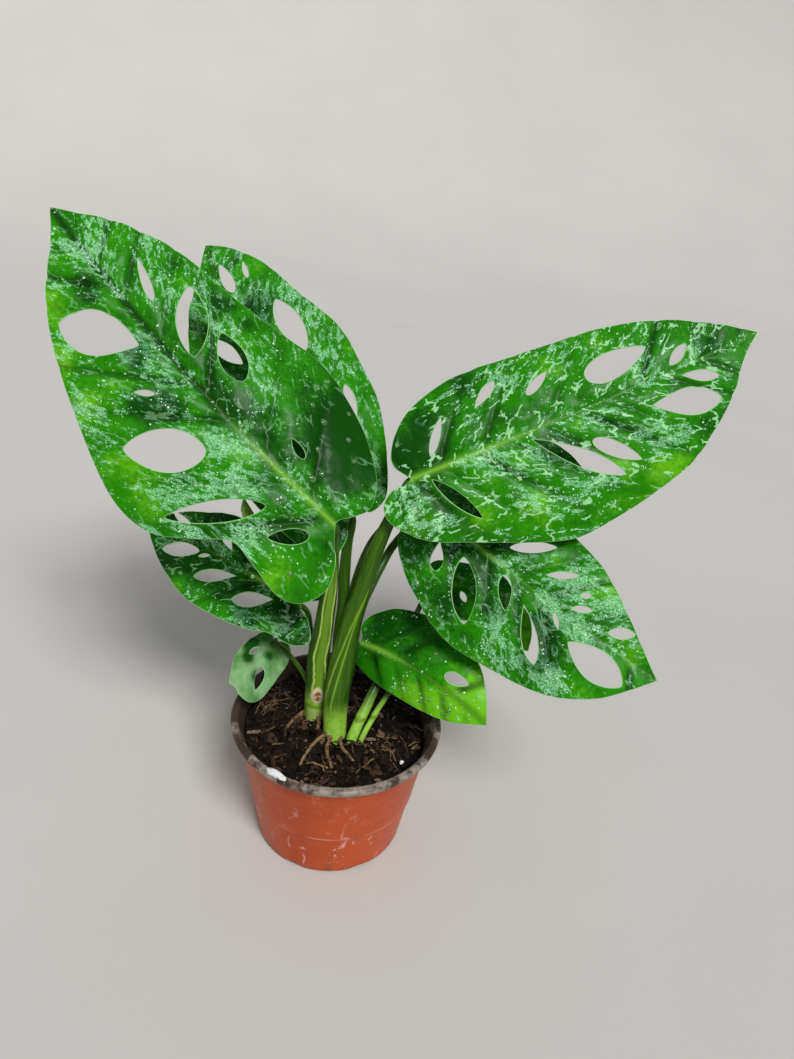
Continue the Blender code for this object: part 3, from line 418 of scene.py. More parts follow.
# Stalk and stem routes: x, y, z and radius at each point, from the soil upwards. For roots the third number
# is the height above the soil.
STEM_LEFT = [(-13, 5, 60, 5.6), (-13, 6, 70, 6.4), (-13, 8, 84, 6.9), (-14, 11, 106, 6.2),
             (-13, 12, 119, 5.8), (-12, 12, 132, 5.2), (-11, 12, 145, 4.8), (-10, 12, 165, 3.8),
             (-10, 10, 183, 2.8)]
STALK_LEFT_LOWER = [(-14, 12, 92, 2.2), (-18, 20, 104, 2.0), (-21, 24, 117, 1.8), (-22.5, 22.5, 128, 1.7)]
STALK_LEFT_SMALL = [(-14, 10, 78, 1.6), (-22, 16, 90, 1.4), (-32, 19, 102, 1.2), (-39, 18, 109, 1.1)]
STALK_ROLLED = [(-11, 12, 149, 1.9), (-18, 14, 157, 1.6), (-33, 16, 165, 1.4), (-47, 17, 172, 1.3)]
STEM_CENTRE = [(1, -12, 60, 5.2), (0, -9, 70, 6.3), (-1, -3, 90, 6.7), (0, 3, 107, 7.2), (1, 7, 118, 6.8),
               (3, 11, 135, 5.8), (7, 14, 153, 5.2), (10, 16, 168, 4.5), (14, 18, 183, 3.9),
               (18, 20, 195, 3.3), (23, 22, 208, 2.8)]
STALK_LEFT_BACK = [(-2, 3, 106, 3.4), (-3, 11, 122, 3.6), (-3, 19, 140, 3.4), (-4, 25, 157, 3.2),
                   (-4, 30, 172, 2.8), (-3, 33, 182, 2.6)]
STALK_RIGHT_MIDDLE = [(5, 12, 138, 2.8), (10, 18, 150, 2.8), (15, 25, 161, 2.5), (21, 35, 171, 2.3),
                      (30, 43, 179, 2.2)]
STALK_BACK_UPPER = [(2, 13, 138, 2.2), (2, 20, 152, 2.0), (6, 30, 167, 1.8), (12, 40, 176, 1.7),
                    (23, 53, 184, 1.6), (34, 61, 188, 1.5)]
STALK_RIGHT_LOWER = [(1, -1, 88, 2.2), (3, 12, 92, 2.0), (5, 22, 98, 1.9), (7, 26, 105, 1.8)]
SHOOT_THICK = [(10, -17, 60, 2.6), (9.5, -12.5, 69, 3.0), (12.2, -6, 77, 3.1), (16, 1.5, 84.5, 2.9),
               (20, 10, 92, 2.6), (29, 24, 107, 2.1), (37, 37, 121, 1.7), (43, 47, 134, 1.5)]
SHOOT_THIN = [(14, -17, 60, 1.4), (15, -11, 70, 1.6), (20, -2, 79, 1.6), (26, 6, 88, 1.5),
              (39, 21, 104, 1.4), (57, 39, 120, 1.3), (72, 48, 132, 1.2)]
ROLLED_LEAF = [(-47.5, 17, 172.3, 1.3), (-49.6, 17, 173.8, 1.7), (-52, 16, 180, 2.8), (-55, 15, 188, 3.2),
               (-57, 15, 194, 2.2), (-58, 15, 199, 0.5)]
ROOTS_LEFT = [
    [(-16, 6, 4, 1.6), (-21, 5, 1.6, 1.3), (-24, 1, 0.8, 1.1), (-27, -6, 0.5, 1.0), (-29, -12, -1.5, 0.8)],
    [(-12, 4, 4, 1.6), (-10, -1, 1.6, 1.3), (-10, -6, 0.2, 1.1), (-11, -11, -3, 0.9)],
]
ROOTS_CENTRE = [
    [(-2, -11, 3, 1.4), (-7, -15, 1.4, 1.2), (-11, -21, 0.8, 1.1), (-14, -28, 0.5, 1.0),
     (-16, -33, -1.5, 0.8)],
    [(-1, -12, 3, 1.4), (-3, -18, 1.4, 1.2), (-2, -25, 0.8, 1.1), (1, -33, 0.5, 1.0), (2, -38, -1.5, 0.8)],
    [(3, -11, 3, 1.3), (5, -18, 1.2, 1.1), (9, -23, 0.6, 1.0), (14, -27, -1.5, 0.8)],
]


class Look:
    """A material whose pattern is built up step by step, each step giving a value for the next."""

    def __init__(self, name, **shine):
        self.material = bpy.data.materials.new(name)
        self.material.use_nodes = True
        self.tree = self.material.node_tree
        self.shader = self.tree.nodes["Principled BSDF"]
        for key, value in shine.items():
            self.shader.inputs[key.replace("_", " ")].default_value = value

    def feed(self, socket, value):
        if isinstance(value, Value):
            self.tree.links.new(value.socket, socket)
        elif socket.type == "RGBA":
            socket.default_value = (*value, 1.0)
        else:
            socket.default_value = value

    def node(self, kind, inputs, output=0, **settings):
        """A new node's output, or a list of outputs where several are named."""
        node = self.tree.nodes.new("ShaderNode" + kind)
        for key, value in settings.items():
            setattr(node, key, value)
        for key, value in inputs.items():
            self.feed(node.inputs[key], value)
        if isinstance(output, tuple):
            return [Value(self, node.outputs[key]) for key in output]
        return Value(self, node.outputs[output])

    def vector(self, name):
        return self.node("Attribute", {}, "Vector", attribute_name=name)

    def number(self, name):
        return self.node("Attribute", {}, "Fac", attribute_name=name)

    def place(self):
        return self.node("TexCoord", {}, "Object")

    def math(self, operation, a, b=0.0):
        return self.node("Math", {0: a, 1: b}, operation=operation)

    def blend(self, factor, a, b):
        return self.node("Mix", {0: factor, 6: a, 7: b}, 2, data_type="RGBA")

    def finish(self, colour, roughness, height=None, strength=0.5, distance=0.3):
        self.feed(self.shader.inputs["Base Color"], colour)
        self.feed(self.shader.inputs["Roughness"], roughness)
        if height is not None:
            inputs = {"Strength": strength, "Distance": distance * MM, "Height": height}
            self.feed(self.shader.inputs["Normal"], self.node("Bump", inputs))
        return self.material


class Value:
    """A number, vector or colour worked out by a material's nodes."""

    def __init__(self, look, socket):
        self.look = look
        self.socket = socket

    def __add__(self, other):
        return self.look.math("ADD", self, other)

    def __sub__(self, other):
        return self.look.math("SUBTRACT", self, other)

    def __rsub__(self, other):
        return self.look.math("SUBTRACT", other, self)

    def __mul__(self, other):
        return self.look.math("MULTIPLY", self, other)

    def most(self, other):
        return self.look.math("MAXIMUM", self, other)

    def size(self):
        return self.look.math("ABSOLUTE", self)

    def step(self, low, high, bottom=0.0, top=1.0):
        """A smooth rise from bottom to top while the value goes from low to high."""
        inputs = {"Value": self, "From Min": low, "From Max": high, "To Min": bottom, "To Max": top}
        return self.look.node("MapRange", inputs, interpolation_type="SMOOTHSTEP")

    def parts(self):
        return self.look.node("SeparateXYZ", {0: self}, (0, 1, 2))

    def scaled(self, scale, shift=(0.0, 0.0, 0.0)):
        return self.look.node("Mapping", {"Vector": self, "Scale": scale, "Location": shift})

    def noise(self, scale, detail=2.0, roughness=0.5, distortion=0.0, output=0):
        inputs = {"Vector": self, "Scale": scale, "Detail": detail, "Roughness": roughness,
                  "Distortion": distortion}
        return self.look.node("TexNoise", inputs, output)

    def cells(self, scale):
        """The distance to the middle of the nearest of many random cells, and that cell's random colour."""
        return self.look.node("TexVoronoi", {"Vector": self, "Scale": scale}, ("Distance", "Color"))

    def cell_edges(self, scale):
        """The distance to the nearest border between the same cells."""
        inputs = {"Vector": self, "Scale": scale}
        return self.look.node("TexVoronoi", inputs, "Distance", feature="DISTANCE_TO_EDGE")

    def warp(self, scale, reach):
        """The coordinates pushed about by noise, so that patterns lose their regular shape."""
        push = self.noise(scale, output=1)
        push = self.look.node("VectorMath", {0: push, 1: (0.5, 0.5, 0.5)}, operation="SUBTRACT")
        push = self.look.node("VectorMath", {0: push, "Scale": reach}, operation="SCALE")
        return self.look.node("VectorMath", {0: self, 1: push}, operation="ADD")


def film_pattern(flat, flow, damp):
    """How wet each spot is, and its film: crisp edges, round bare islands, small pits and a lacy grain."""
    patch = (flow.noise(0.05) - 0.5) * 0.8
    lumps = (flow.noise(0.24, 5.0, 0.68) - 0.5) * 1.25
    field = damp + (patch + lumps)
    warped = flow.warp(0.3, 3.5)
    middle, colour = warped.cells(0.19)
    border = field.step(0.50, 0.74) * 0.16 + colour.parts()[0] * 0.18
    bare = (warped.cell_edges(0.19) - border).step(0.07, 0.10) * middle.step(0.62, 0.55)
    film = field.step(0.50, 0.55) * (1.0 - bare)
    for scale, share in ((0.45, 0.85), (0.95, 0.7)):
        middle, colour = flat.warp(0.8, 0.8).cells(scale)
        pit = (middle - colour.parts()[0] * 0.46).step(0.04, -0.04)
        film = film * (1.0 - pit * share)
    return field, film * flat.noise(1.1, 4.0, 0.75).step(0.38, 0.62, 0.12, 1.0)


def leaf_look(name, wet, pale=False):
    """Waxy green blade under a water film, with threads where drops ran and specks at the film's edge."""
    # Painted here: light and shade on the blade, glare on the film, highlights on threads and specks
    look = Look(name, Specular_IOR_Level=0.10, Coat_Weight=0.02, Coat_Roughness=0.08)
    shift = (wet["seed"] * 37.0, wet["seed"] * 19.0, 0.0)
    flat = look.vector("flat").scaled((1.0, 1.0, 1.0), shift)
    flow = look.vector("flow").scaled((1.0, 0.75, 1.0), shift)
    # tone holds the film amount, the painted light and shade, and the furrow depth for painted shade
    damp, painted_sun, valley = look.vector("tone").parts()
    under = look.number("under").step(0.4, 0.6)
    # Green: random cloudy tone, painted light and shade, and painted shade deepest along the side veins
    cloud = flat.noise(0.05, 3.0, 0.55)
    mottle = flat.noise(0.45, 3.0, 0.6)
    tone_and_painted_light = cloud * 1.1 + mottle * 0.5 + (painted_sun * 0.5 - 0.07)
    lit = tone_and_painted_light.step(0.35, 0.85)
    green = look.blend(lit, LEAF_DARK, LEAF_GREEN)
    green = look.blend(tone_and_painted_light.step(0.80, 1.25), green, LEAF_BRIGHT)
    # Painted shade in the side vein furrows and the midrib groove
    green = look.blend(valley * 0.85, green, LEAF_FURROW_SHADE)
    green = look.blend(look.number("rib"), green, RIB_PALE)
    # Water: film painted as glare, painted glints on it, and threads and specks painted as highlights
    field, film = film_pattern(flat, flow, damp)
    # Painted glints on the film
    glint = film * flat.noise(1.5, 3.0, 0.7).step(0.55, 0.64)
    # Threads of water, painted pale as the highlight along each one
    line = flow.warp(0.22, 5.0).cell_edges(0.11).step(0.050, 0.030)
    thread_highlight = line * flat.noise(0.14).step(0.50, 0.55) * (0.72 * wet["threads"]) * damp.step(0.14, 0.28)
    # Specks: small drops painted white as their glints
    middle, colour = flat.cells(0.62)
    glint_speck = middle.step(0.24, 0.16) * colour.parts()[2].step(0.88, 0.90)
    glint_speck = glint_speck * field.step(0.40, 0.50) * flat.noise(0.1).step(0.42, 0.52)
    film, thread_highlight, glint_speck = (part * (1.0 - under) for part in (film, thread_highlight, glint_speck))
    wetness = film.most(thread_highlight).most(glint_speck)
    # The film's pale colour is painted glare, duller where the painted shade falls
    colour = look.blend(film * 0.80, green, look.blend(lit, FILM_PAINTED_GLARE_SHADED, FILM_PAINTED_GLARE))
    colour = look.blend(glint * 0.60, colour, PAINTED_GLINT_WHITE)
    colour = look.blend(thread_highlight, colour, THREAD_PAINTED_HIGHLIGHT)
    colour = look.blend(glint_speck, colour, PAINTED_GLINT_WHITE)
    if pale:
        colour = look.blend(cloud.step(0.35, 0.6), LEAF_UNDER, LEAF_PALE)
        # Painted shade in the furrows and under the dark light spots
        colour = look.blend(valley * 0.5, colour, LEAF_GREEN)
        colour = look.blend(painted_sun.step(-0.15, -0.75), colour, LEAF_DARK)
    else:
        back = look.blend(mottle.step(0.3, 0.7), LEAF_UNDER, UNDER_BRIGHT)
        back = look.blend(valley * 0.5, back, RIB_PALE)
        colour = look.blend(under, colour, back)
    # The edge bead painted pale as the highlight that edges catch
    colour = look.blend(look.number("rim").step(0.46, 0.85), colour, RIM_PAINTED_HIGHLIGHT)
    roughness = mottle.step(0.25, 0.75, 0.30, 0.44) - wetness * 0.16 + under * 0.2
    return look.finish(colour, roughness, wetness + mottle * 0.6, 0.5, 0.25)


def water_look():
    """Small round drops, painted white in patches as the glints that drops this small show."""
    look = Look("water", Specular_IOR_Level=0.6, Coat_Weight=0.6, Coat_Roughness=0.03)
    cloud = look.place().noise(900.0)
    colour = look.blend(cloud.step(0.42, 0.72), DROP_GREEN, PAINTED_GLINT_WHITE)
    return look.finish(colour, cloud.step(0.3, 0.7, 0.04, 0.12))


def pearl_look():
    """Big clear drops through which the leaf shows."""
    look = Look("pearl", IOR=1.33, Transmission_Weight=0.8, Coat_Weight=0.3, Coat_Roughness=0.03)
    cloud = look.place().noise(500.0)
    colour = look.blend(cloud.step(0.3, 0.7), PEARL_GREEN, PEARL_PALE)
    return look.finish(colour, cloud.step(0.3, 0.7, 0.01, 0.04))


def stem_look():
    """Ribbed green stalks: bright at the foot, a yellow strip with pale edges, a brown scar, tan roots."""
    look = Look("stem", Specular_IOR_Level=0.22, Coat_Weight=0.06, Coat_Roughness=0.12)
    skin = look.vector("skin")
    height = look.place().parts()[2]
    streak = skin.scaled((1.1, 0.05, 1.0)).noise(1.0, 4.0, 0.65)
    broad = skin.scaled((0.35, 0.03, 1.0)).noise(1.0, 3.0, 0.6)
    mottle = skin.noise(0.35, 3.0, 0.6)
    colour = look.blend((streak * 0.6 + broad * 0.4).step(0.36, 0.64), STEM_GREEN, STEM_BRIGHT)
    # Painted shade where a stem's shade mask lies
    colour = look.blend(look.number("shade"), colour, STEM_SHADE)
    foot = height.step(0.094, 0.080) * mottle.step(0.25, 0.6, 0.65, 1.0)
    colour = look.blend(foot, colour, STEM_FOOT)
    pale = look.number("pale")
    colour = look.blend(pale.step(0.1, 0.45), colour, STEM_STRIP)
    colour = look.blend(pale.step(0.55, 0.9), colour, STEM_YELLOW)
    scar = look.number("scar")
    colour = look.blend(scar.step(0.25, 0.5), colour, SCAR_PALE)
    scar = scar.step(0.60, 0.85) * skin.noise(0.55, 4.0, 0.7).step(0.44, 0.53)
    colour = look.blend(scar, colour, SCAR_BROWN)
    root = look.number("root")
    bark = look.blend(mottle.step(0.35, 0.65), ROOT_DARK, ROOT_TAN)
    colour = look.blend(root.step(0.3, 0.7), colour, bark)
    roughness = mottle.step(0.3, 0.7, 0.28, 0.42) + root * 0.4
    return look.finish(colour, roughness, streak + scar * 0.8, 0.5, 0.35)


def rolled_look():
    """Tender yellow-green of a leaf that is still rolled up, paler along its seam."""
    look = Look("young_leaf", Coat_Weight=0.2, Coat_Roughness=0.2)
    fine = look.place().scaled((1.0, 1.0, 0.25)).noise(800.0, 3.0, 0.6)
    colour = look.blend(fine.step(0.3, 0.7), YOUNG_GREEN, YOUNG_YELLOW)
    colour = look.blend(look.number("seam").step(0.55, 0.95) * 0.6, colour, STEM_YELLOW)
    return look.finish(colour, fine.step(0.3, 0.7, 0.28, 0.42), fine, 0.4, 0.3)


def soil_look(name, damp=0.0):
    """Dark bark and coir, each scrap in its own tone, with a damp sheen here and there."""
    look = Look(name, Specular_IOR_Level=0.14)
    place = look.place()
    tone = look.number("tone")
    fine = place.noise(900.0, 4.0, 0.7)
    grain = place.noise(260.0, 3.0, 0.6)
    mix = fine * 0.5 + grain * 0.5
    colour = look.blend(mix.step(0.45, 0.70), SOIL_BLACK, SOIL_BROWN)
    bark = look.blend(mix.step(0.40, 0.62, 0.35, 1.0), SOIL_BROWN, BARK_BROWN)
    colour = look.blend(tone.step(0.35, 0.75), colour, bark)
    colour = look.blend(tone.step(0.86, 0.97) * fine.step(0.4, 0.6, 0.4, 1.0), colour, BARK_PALE)
    return look.finish(colour, grain.step(0.35, 0.65, 0.45 - damp, 0.90 - damp), fine, 0.8, 0.5)


def fibre_look():
    """Coir fibres from dark brown to tan, blotched with soil."""
    look = Look("fibre", Specular_IOR_Level=0.25)
    fine = look.place().noise(700.0, 3.0, 0.6)
    colour = look.blend(look.number("tone"), SOIL_BROWN, ROOT_TAN)
    colour = look.blend(fine.step(0.48, 0.72, 0.0, 0.8), colour, SOIL_BROWN)
    return look.finish(colour, fine.step(0.3, 0.7, 0.55, 0.85), fine, 0.5, 0.3)


def perlite_look():
    """Crumbly white grains with grey stains."""
    look = Look("perlite", Specular_IOR_Level=0.25)
    place = look.place()
    fine = place.cells(1400.0)[0]
    stain = place.noise(260.0, 3.0, 0.6)
    colour = look.blend(stain.step(0.52, 0.72), PERLITE_WHITE, PERLITE_GREY)
    return look.finish(colour, fine.step(0.1, 0.7, 0.75, 0.95), fine, 0.8, 0.3)


def pot_look():
    """Moulded terracotta-coloured plastic: dusty lip and inside, chalky scuffs and a worn step line."""
    look = Look("pot", Specular_IOR_Level=0.16)
    place = look.place()
    _, y, z = place.parts()
    broad = place.noise(22.0, 3.0, 0.6)
    fine = place.noise(420.0, 4.0, 0.65)
    lines = place.scaled((1.0, 1.0, 30.0)).noise(20.0, 3.0, 0.6)
    colour = look.blend(broad.step(0.3, 0.7), POT_DEEP, POT_ORANGE)
    colour = look.blend(lines.step(0.4, 0.7) * 0.35, colour, POT_WARM)
    # Soil stains run down from the lip and gather at the foot
    stain = place.scaled((1.0, 1.0, 0.25)).noise(90.0, 4.0, 0.65).step(0.48, 0.68)
    ends = z.step(0.058, 0.076).most(z.step(0.014, 0.0))
    colour = look.blend(stain * (ends * 0.5 + 0.12), colour, POT_STAIN)
    # Scuffs, most of them low down, and the line along the step
    scuff = place.scaled((1.0, 1.0, 0.55)).noise(120.0, 5.0, 0.72, 0.6).step(0.585, 0.65)
    scuff = scuff * (z.step(0.060, 0.020) + 0.25)
    speckle = place.cells(330.0)[0].step(0.20, 0.10) * place.noise(60.0).step(0.50, 0.60)
    ring = (z - STEP_HEIGHT * MM).size().step(0.0013, 0.0004) * place.noise(70.0, 3.0).step(0.38, 0.58)
    worn = scuff.most(speckle * 0.7).most(ring * 0.85)
    colour = look.blend(worn * 0.65, colour, SCUFF)
    # Soil dust over the lip and down the inside, with a painted highlight that pales it towards the front
    low = LIP_LOW * MM
    on_lip = (z + (fine - 0.5) * 0.0012).step(low - 0.0002, low + 0.0003)
    dirt = on_lip.most(look.number("inner").step(0.4, 0.6))
    dust = place.noise(75.0, 4.0, 0.7)
    # Painted highlight: the pale dust colour gathers towards the front
    front = y.step(-0.020, -0.058, 0.0, 0.16)
    grey = look.blend((dust + front).step(0.52, 0.72, 0.0, 0.85), LIP_BROWN, LIP_DUST_AND_SHEEN)
    grey = look.blend(fine.step(0.52, 0.72, 0.0, 0.5), grey, SOIL_BROWN)
    colour = look.blend(dirt, colour, grey)
    roughness = fine.step(0.3, 0.7, 0.32, 0.44) + worn * 0.25
    return look.finish(colour, roughness, fine * 0.35 + dust * dirt, 0.35, 0.25)


def floor_look():
    """Plain pale paper with hardly any pattern."""
    look = Look("floor", Specular_IOR_Level=0.2)
    cloud = look.place().noise(3.0, 3.0)
    return look.finish(look.blend(cloud.step(0.3, 0.7), FLOOR_PALE, FLOOR_SHADE), 0.85)


def ramp(value, start, end):
    """0 before start, 1 past end and even in between; end may be the lower of the two."""
    return np.clip((value - start) / (end - start), 0, 1)


def bump(value, width):
    """A soft hump, 1 high where the value is 0."""
    return np.exp(-(value / width) ** 2)


def wave(height, seed):
    """A small wander in radians, for edges that don't run straight."""
    height = np.asarray(height, float)
    slow = np.sin(0.21 * height + seed)
    quick = np.sin(0.95 * height + 2.0 * np.sin(0.31 * height) + 2.0 * seed)
    return 0.07 * slow + 0.045 * quick * np.clip((125 - height) / 25, 0.2, 1)


def around(angle, at):
    """Angle in radians from a direction given in degrees, between -pi and pi."""
    return (angle - math.radians(at) + math.pi) % (2 * math.pi) - math.pi


def sheath(angle, height):
    """The big leaf's stalk: two thin wings by a channel at the front right, a swollen scar below."""
    lift = 1.4 * ramp(height, 84, 98) * ramp(height, 172, 152)
    wings = sum(bump(around(angle, at) - wave(height, at), 0.15) for at in STRIP_EDGES)
    channel = 0.35 * bump(around(angle, 17), 0.3)
    scar = bump(height - 88, 5.5) * bump(around(angle, 8), 0.7)
    bulb = 0.7 * bump(height - 77, 5) * bump(around(angle, 15), 0.9)
    return lift * (wings - channel) + scar + bulb


def climbing(height):
    """The directions in degrees of the main stem's two sheath margins at a height."""
    return -62 + 1.5 * (height - 88), -20 + 0.9 * (height - 88)


def sheath_centre(angle, height):
    """The main stem's sheath: two low margins that climb round its front."""
    lift = 0.7 * ramp(height, 80, 92) * ramp(height, 156, 136)
    return lift * sum(bump(around(angle, at), 0.13) for at in climbing(height))


def spline(points, steps):
    """A smooth curve through the points, with the given number of steps between each two."""
    points = np.asarray(points, float)
    ends = np.vstack([2 * points[0] - points[1], points, 2 * points[-1] - points[-2]])
    t = (np.arange(steps) / steps)[:, None]
    curve = []
    for a, b, c, d in zip(ends, ends[1:], ends[2:], ends[3:]):
        cubic = (3 * b - a - 3 * c + d) * t ** 3
        curve.append(0.5 * (2 * b + (c - a) * t + (2 * a - 5 * b + 4 * c - d) * t ** 2 + cubic))
    return np.vstack([*curve, points[-1:]])


def evenly(curve, spacing):
    """The curve's points moved to lie evenly along it, about the given spacing apart."""
    curve = np.asarray(curve, float)
    length = np.concatenate([[0], np.cumsum(np.linalg.norm(np.diff(curve[:, :3], axis=0), axis=1))])
    count = max(2, int(round(length[-1] / spacing)) + 1)
    at = np.linspace(0, length[-1], count)
    return np.stack([np.interp(at, length, curve[:, i]) for i in range(curve.shape[1])], axis=1)


def smoothstep(value):
    value = np.clip(value, 0, 1)
    return value * value * (3 - 2 * value)


def noise_at(points, size, seed):
    """Smooth noise from -1 to 1 at each point, with features of about the given size."""
    shift = Vector((seed * 3.1, seed * 7.7, seed * 1.3))
    points = np.asarray(points, float) / size
    if points.shape[1] == 2:
        points = np.column_stack([points, np.zeros(len(points))])
    return np.array([noise.noise(Vector(p) + shift) for p in points.tolist()])


def soft_sum(spots, s, y):
    """The sum of soft round spots, each given as s, y, radius and weight."""
    total = np.zeros(len(s))
    for at_s, at_y, radius, weight in spots:
        total += weight * np.exp(-((s - at_s) ** 2 + (y - at_y) ** 2) / radius ** 2)
    return total


def link(name, data):
    obj = bpy.data.objects.new(name, data)
    bpy.context.scene.collection.objects.link(obj)
    return obj


def mesh_from(name, points, faces):
    mesh = bpy.data.meshes.new(name)
    mesh.from_pydata((np.asarray(points, float) * MM).tolist(), [], faces)
    return mesh


def write_values(mesh, values):
    """Keeps numbers or vectors at the mesh's points, under the names that the materials read."""
    for key, value in values.items():
        kind, field = ("FLOAT_VECTOR", "vector") if np.ndim(value) == 2 else ("FLOAT", "value")
        data = np.asarray(value, np.float32).ravel()
        mesh.attributes.new(key, kind, "POINT").data.foreach_set(field, data)


def carry(name, mesh, replaces=()):
    """A piece of the mesh that rides on the root body and stands for the named nodes."""
    obj = link(name, mesh)
    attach(obj, "root")
    if replaces:
        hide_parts(*replaces)
    return obj


def new_piece(name, points, faces, material, slot, values=None, replaces=()):
    mesh = mesh_from(name, points, faces)
    mesh.materials.append(material)
    mesh.shade_smooth()
    write_values(mesh, values or {})
    return carry(name, mesh, replaces)


def applied(obj):
    """The object's mesh with its modifiers applied; the object itself is removed."""
    graph = bpy.context.evaluated_depsgraph_get()
    mesh = bpy.data.meshes.new_from_object(obj.evaluated_get(graph))
    bpy.data.objects.remove(obj)
    return mesh


def mesh_points(mesh):
    points = np.zeros(len(mesh.vertices) * 3)
    mesh.vertices.foreach_get("co", points)
    return points.reshape(-1, 3) / MM


def ring_faces(sides, rings):
    """Faces of a closed solid made of a first point, rings of points one after another and a last point."""
    faces = []
    for i in range(sides):
        j = (i + 1) % sides
        faces.append((0, 1 + j, 1 + i))
        for ring in range(rings - 1):
            low, high = 1 + ring * sides, 1 + (ring + 1) * sides
            faces.append((low + i, low + j, high + j, high + i))
        top = 1 + (rings - 1) * sides
        faces.append((top + i, top + j, top + sides))
    return faces


def ball(subdivisions):
    """Points and faces of a round ball of radius 1."""
    shape = bmesh.new()
    bmesh.ops.create_icosphere(shape, subdivisions=subdivisions, radius=1.0)
    points = np.array([v.co[:] for v in shape.verts])
    faces = [tuple(v.index for v in face.verts) for face in shape.faces]
    shape.free()
    return points, faces


def joined(parts):
    """Points and faces of several meshes as one."""
    points, faces, first = [], [], 0
    for part_points, part_faces in parts:
        points.append(np.asarray(part_points, float))
        faces += [tuple(i + first for i in face) for face in part_faces]
        first += len(part_points)
    return np.vstack(points), faces


class Blade:
    """The bent surface of a leaf: places a point given along (s) and across (y) the midrib."""

    def __init__(self, name):
        leaf = LEAVES[name]
        self.leaf = leaf
        self.sides = []
        for veins in VEINS[name]:
            starts, leans = np.array(veins, float).T
            first, last = 2 * starts[0] - starts[1], 2 * starts[-1] - starts[-2]
            self.sides.append((np.array([first, *starts, last]), np.array([leans[0], *leans, leans[-1]])))
        self.base = np.array(leaf["base"], float)
        chord = np.array(leaf["tip"], float) - self.base
        self.along = chord / np.linalg.norm(chord)
        up = np.array([0.0, 0.0, 1.0])
        upright = up - up @ self.along * self.along
        upright /= np.linalg.norm(upright)
        roll = math.radians(leaf["roll"])
        self.face = math.cos(roll) * upright + math.sin(roll) * np.cross(upright, self.along)
        self.across = np.cross(self.face, self.along)
        self.arch = math.radians(leaf["arch"])
        self.length = np.linalg.norm(chord) * (self.arch / 2) / math.sin(self.arch / 2)

    def vein_field(self, s, y):
        """For each point: where its side vein would start, how far it lies from the nearest real vein, its
        share of the way from one vein to the next, and a number for the nearest vein."""
        t = np.abs(y)
        root, away, share, number = (np.zeros(len(s)) for _ in range(4))
        for side, (starts, leans) in enumerate(self.sides):
            on = (y >= 0) == (side == 0)
            low, high = s[on] - 90.0, s[on] + 90.0
            for _ in range(22):
                middle = (low + high) / 2
                reach = middle + np.interp(middle, starts, leans) * t[on] + VEIN_BEND * t[on] ** 2
                high = np.where(reach > s[on], middle, high)
                low = np.where(reach > s[on], low, middle)
            root[on] = middle
            place = np.interp(middle, starts, np.arange(len(starts)))
            place += np.where(middle > starts[-1], (middle - starts[-1]) / (starts[-1] - starts[-2]), 0)
            near = np.round(place)
            share[on] = place - np.floor(place)
            number[on] = near + 40 * side
            away[on] = 0.78 * np.abs(middle - np.interp(near, np.arange(len(starts)), starts))
        return root, away, share, number

    def relief(self, s, y):
        """How far the blade is puffed up between its side veins."""
        t = np.abs(y)
        shape = s.shape
        puff = np.sin(math.pi * self.vein_field(s.ravel(), y.ravel())[2]).reshape(shape) ** 0.8
        fade = ramp(t, 0, 7) * np.clip(1.3 - t / self.leaf["half"], 0, 1)
        fade = fade * np.clip((self.length - s) / (0.22 * self.length), 0.1, 1)
        return PUFF * self.leaf["veins"] * puff * fade

    def place(self, s, y):
        leaf = self.leaf
        s, y = np.asarray(s, float), np.asarray(y, float)
        bend = -self.arch / self.length
        start = self.arch / 2
        angle = start + bend * s
        mid_x = (np.sin(angle) - math.sin(start)) / bend
        mid_z = (math.cos(start) - np.cos(angle)) / bend
        left = y >= 0
        t = np.abs(y)
        fold = np.radians(np.where(left, leaf["fold"][0], leaf["fold"][1]))
        curl = np.radians(np.where(left, leaf["curl"][0], leaf["curl"][1])) / leaf["half"]
        out = (np.sin(fold + curl * t) - np.sin(fold)) / curl * np.sign(y)
        rise = (np.cos(fold) - np.cos(fold + curl * t)) / curl
        edge = np.clip(t / leaf["half"], 0, 1.3) ** 2
        phase = np.where(left, 0.6, 2.4)
        rise = rise + leaf["wave"] * edge * np.sin(6 * math.pi * s / self.length + phase)
        rise = rise + self.relief(s, y)
        u = np.clip(s / self.length, 0, 1)
        out = out + leaf["bow"] * 4 * u * (1 - u)
        x = mid_x - rise * np.sin(angle)
        z = mid_z + rise * np.cos(angle)
        spot = self.base + x[..., None] * self.along + out[..., None] * self.across
        return spot + z[..., None] * self.face

    def normal(self, s, y, reach=0.5):
        ds = self.place(s + reach, y) - self.place(s - reach, y)
        dy = self.place(s, y + reach) - self.place(s, y - reach)
        n = np.cross(ds, dy)
        return n / np.linalg.norm(n, axis=-1)[..., None]

    def keel(self, s):
        """Height of the midrib under the blade: it swells out past the stalk's end and fades to the tip."""
        return KEEL * ramp(s, 6, 14) * np.clip(1.05 - s / self.length, 0.1, 1)

    def under(self, s, radius, clear):
        """A point of the stalk's axis that lies just below the blade's midrib."""
        at = np.array([float(s)])
        zero = np.zeros(1)
        depth = 0.35 + self.keel(at)[0] + clear + radius
        return tuple((self.place(at, zero) - depth * self.normal(at, zero))[0]) + (radius,)


def hole_outline(start, end, width, widest, points):
    """An eye-shaped loop from start to end, points stations on each side."""
    start, end = np.array(start, float), np.array(end, float)
    run = end - start
    out = np.array([-run[1], run[0]]) / np.linalg.norm(run)
    u = (1 - np.cos(np.pi * np.arange(1, points) / points)) / 2
    power = math.log(0.5) / math.log(widest)
    half = width / 2 * np.sin(np.pi * u ** power) ** HOLE_ROUNDNESS
    one = start + u[:, None] * run + half[:, None] * out
    two = start + u[::-1, None] * run - half[::-1, None] * out
    return np.vstack([start, one, end, two])


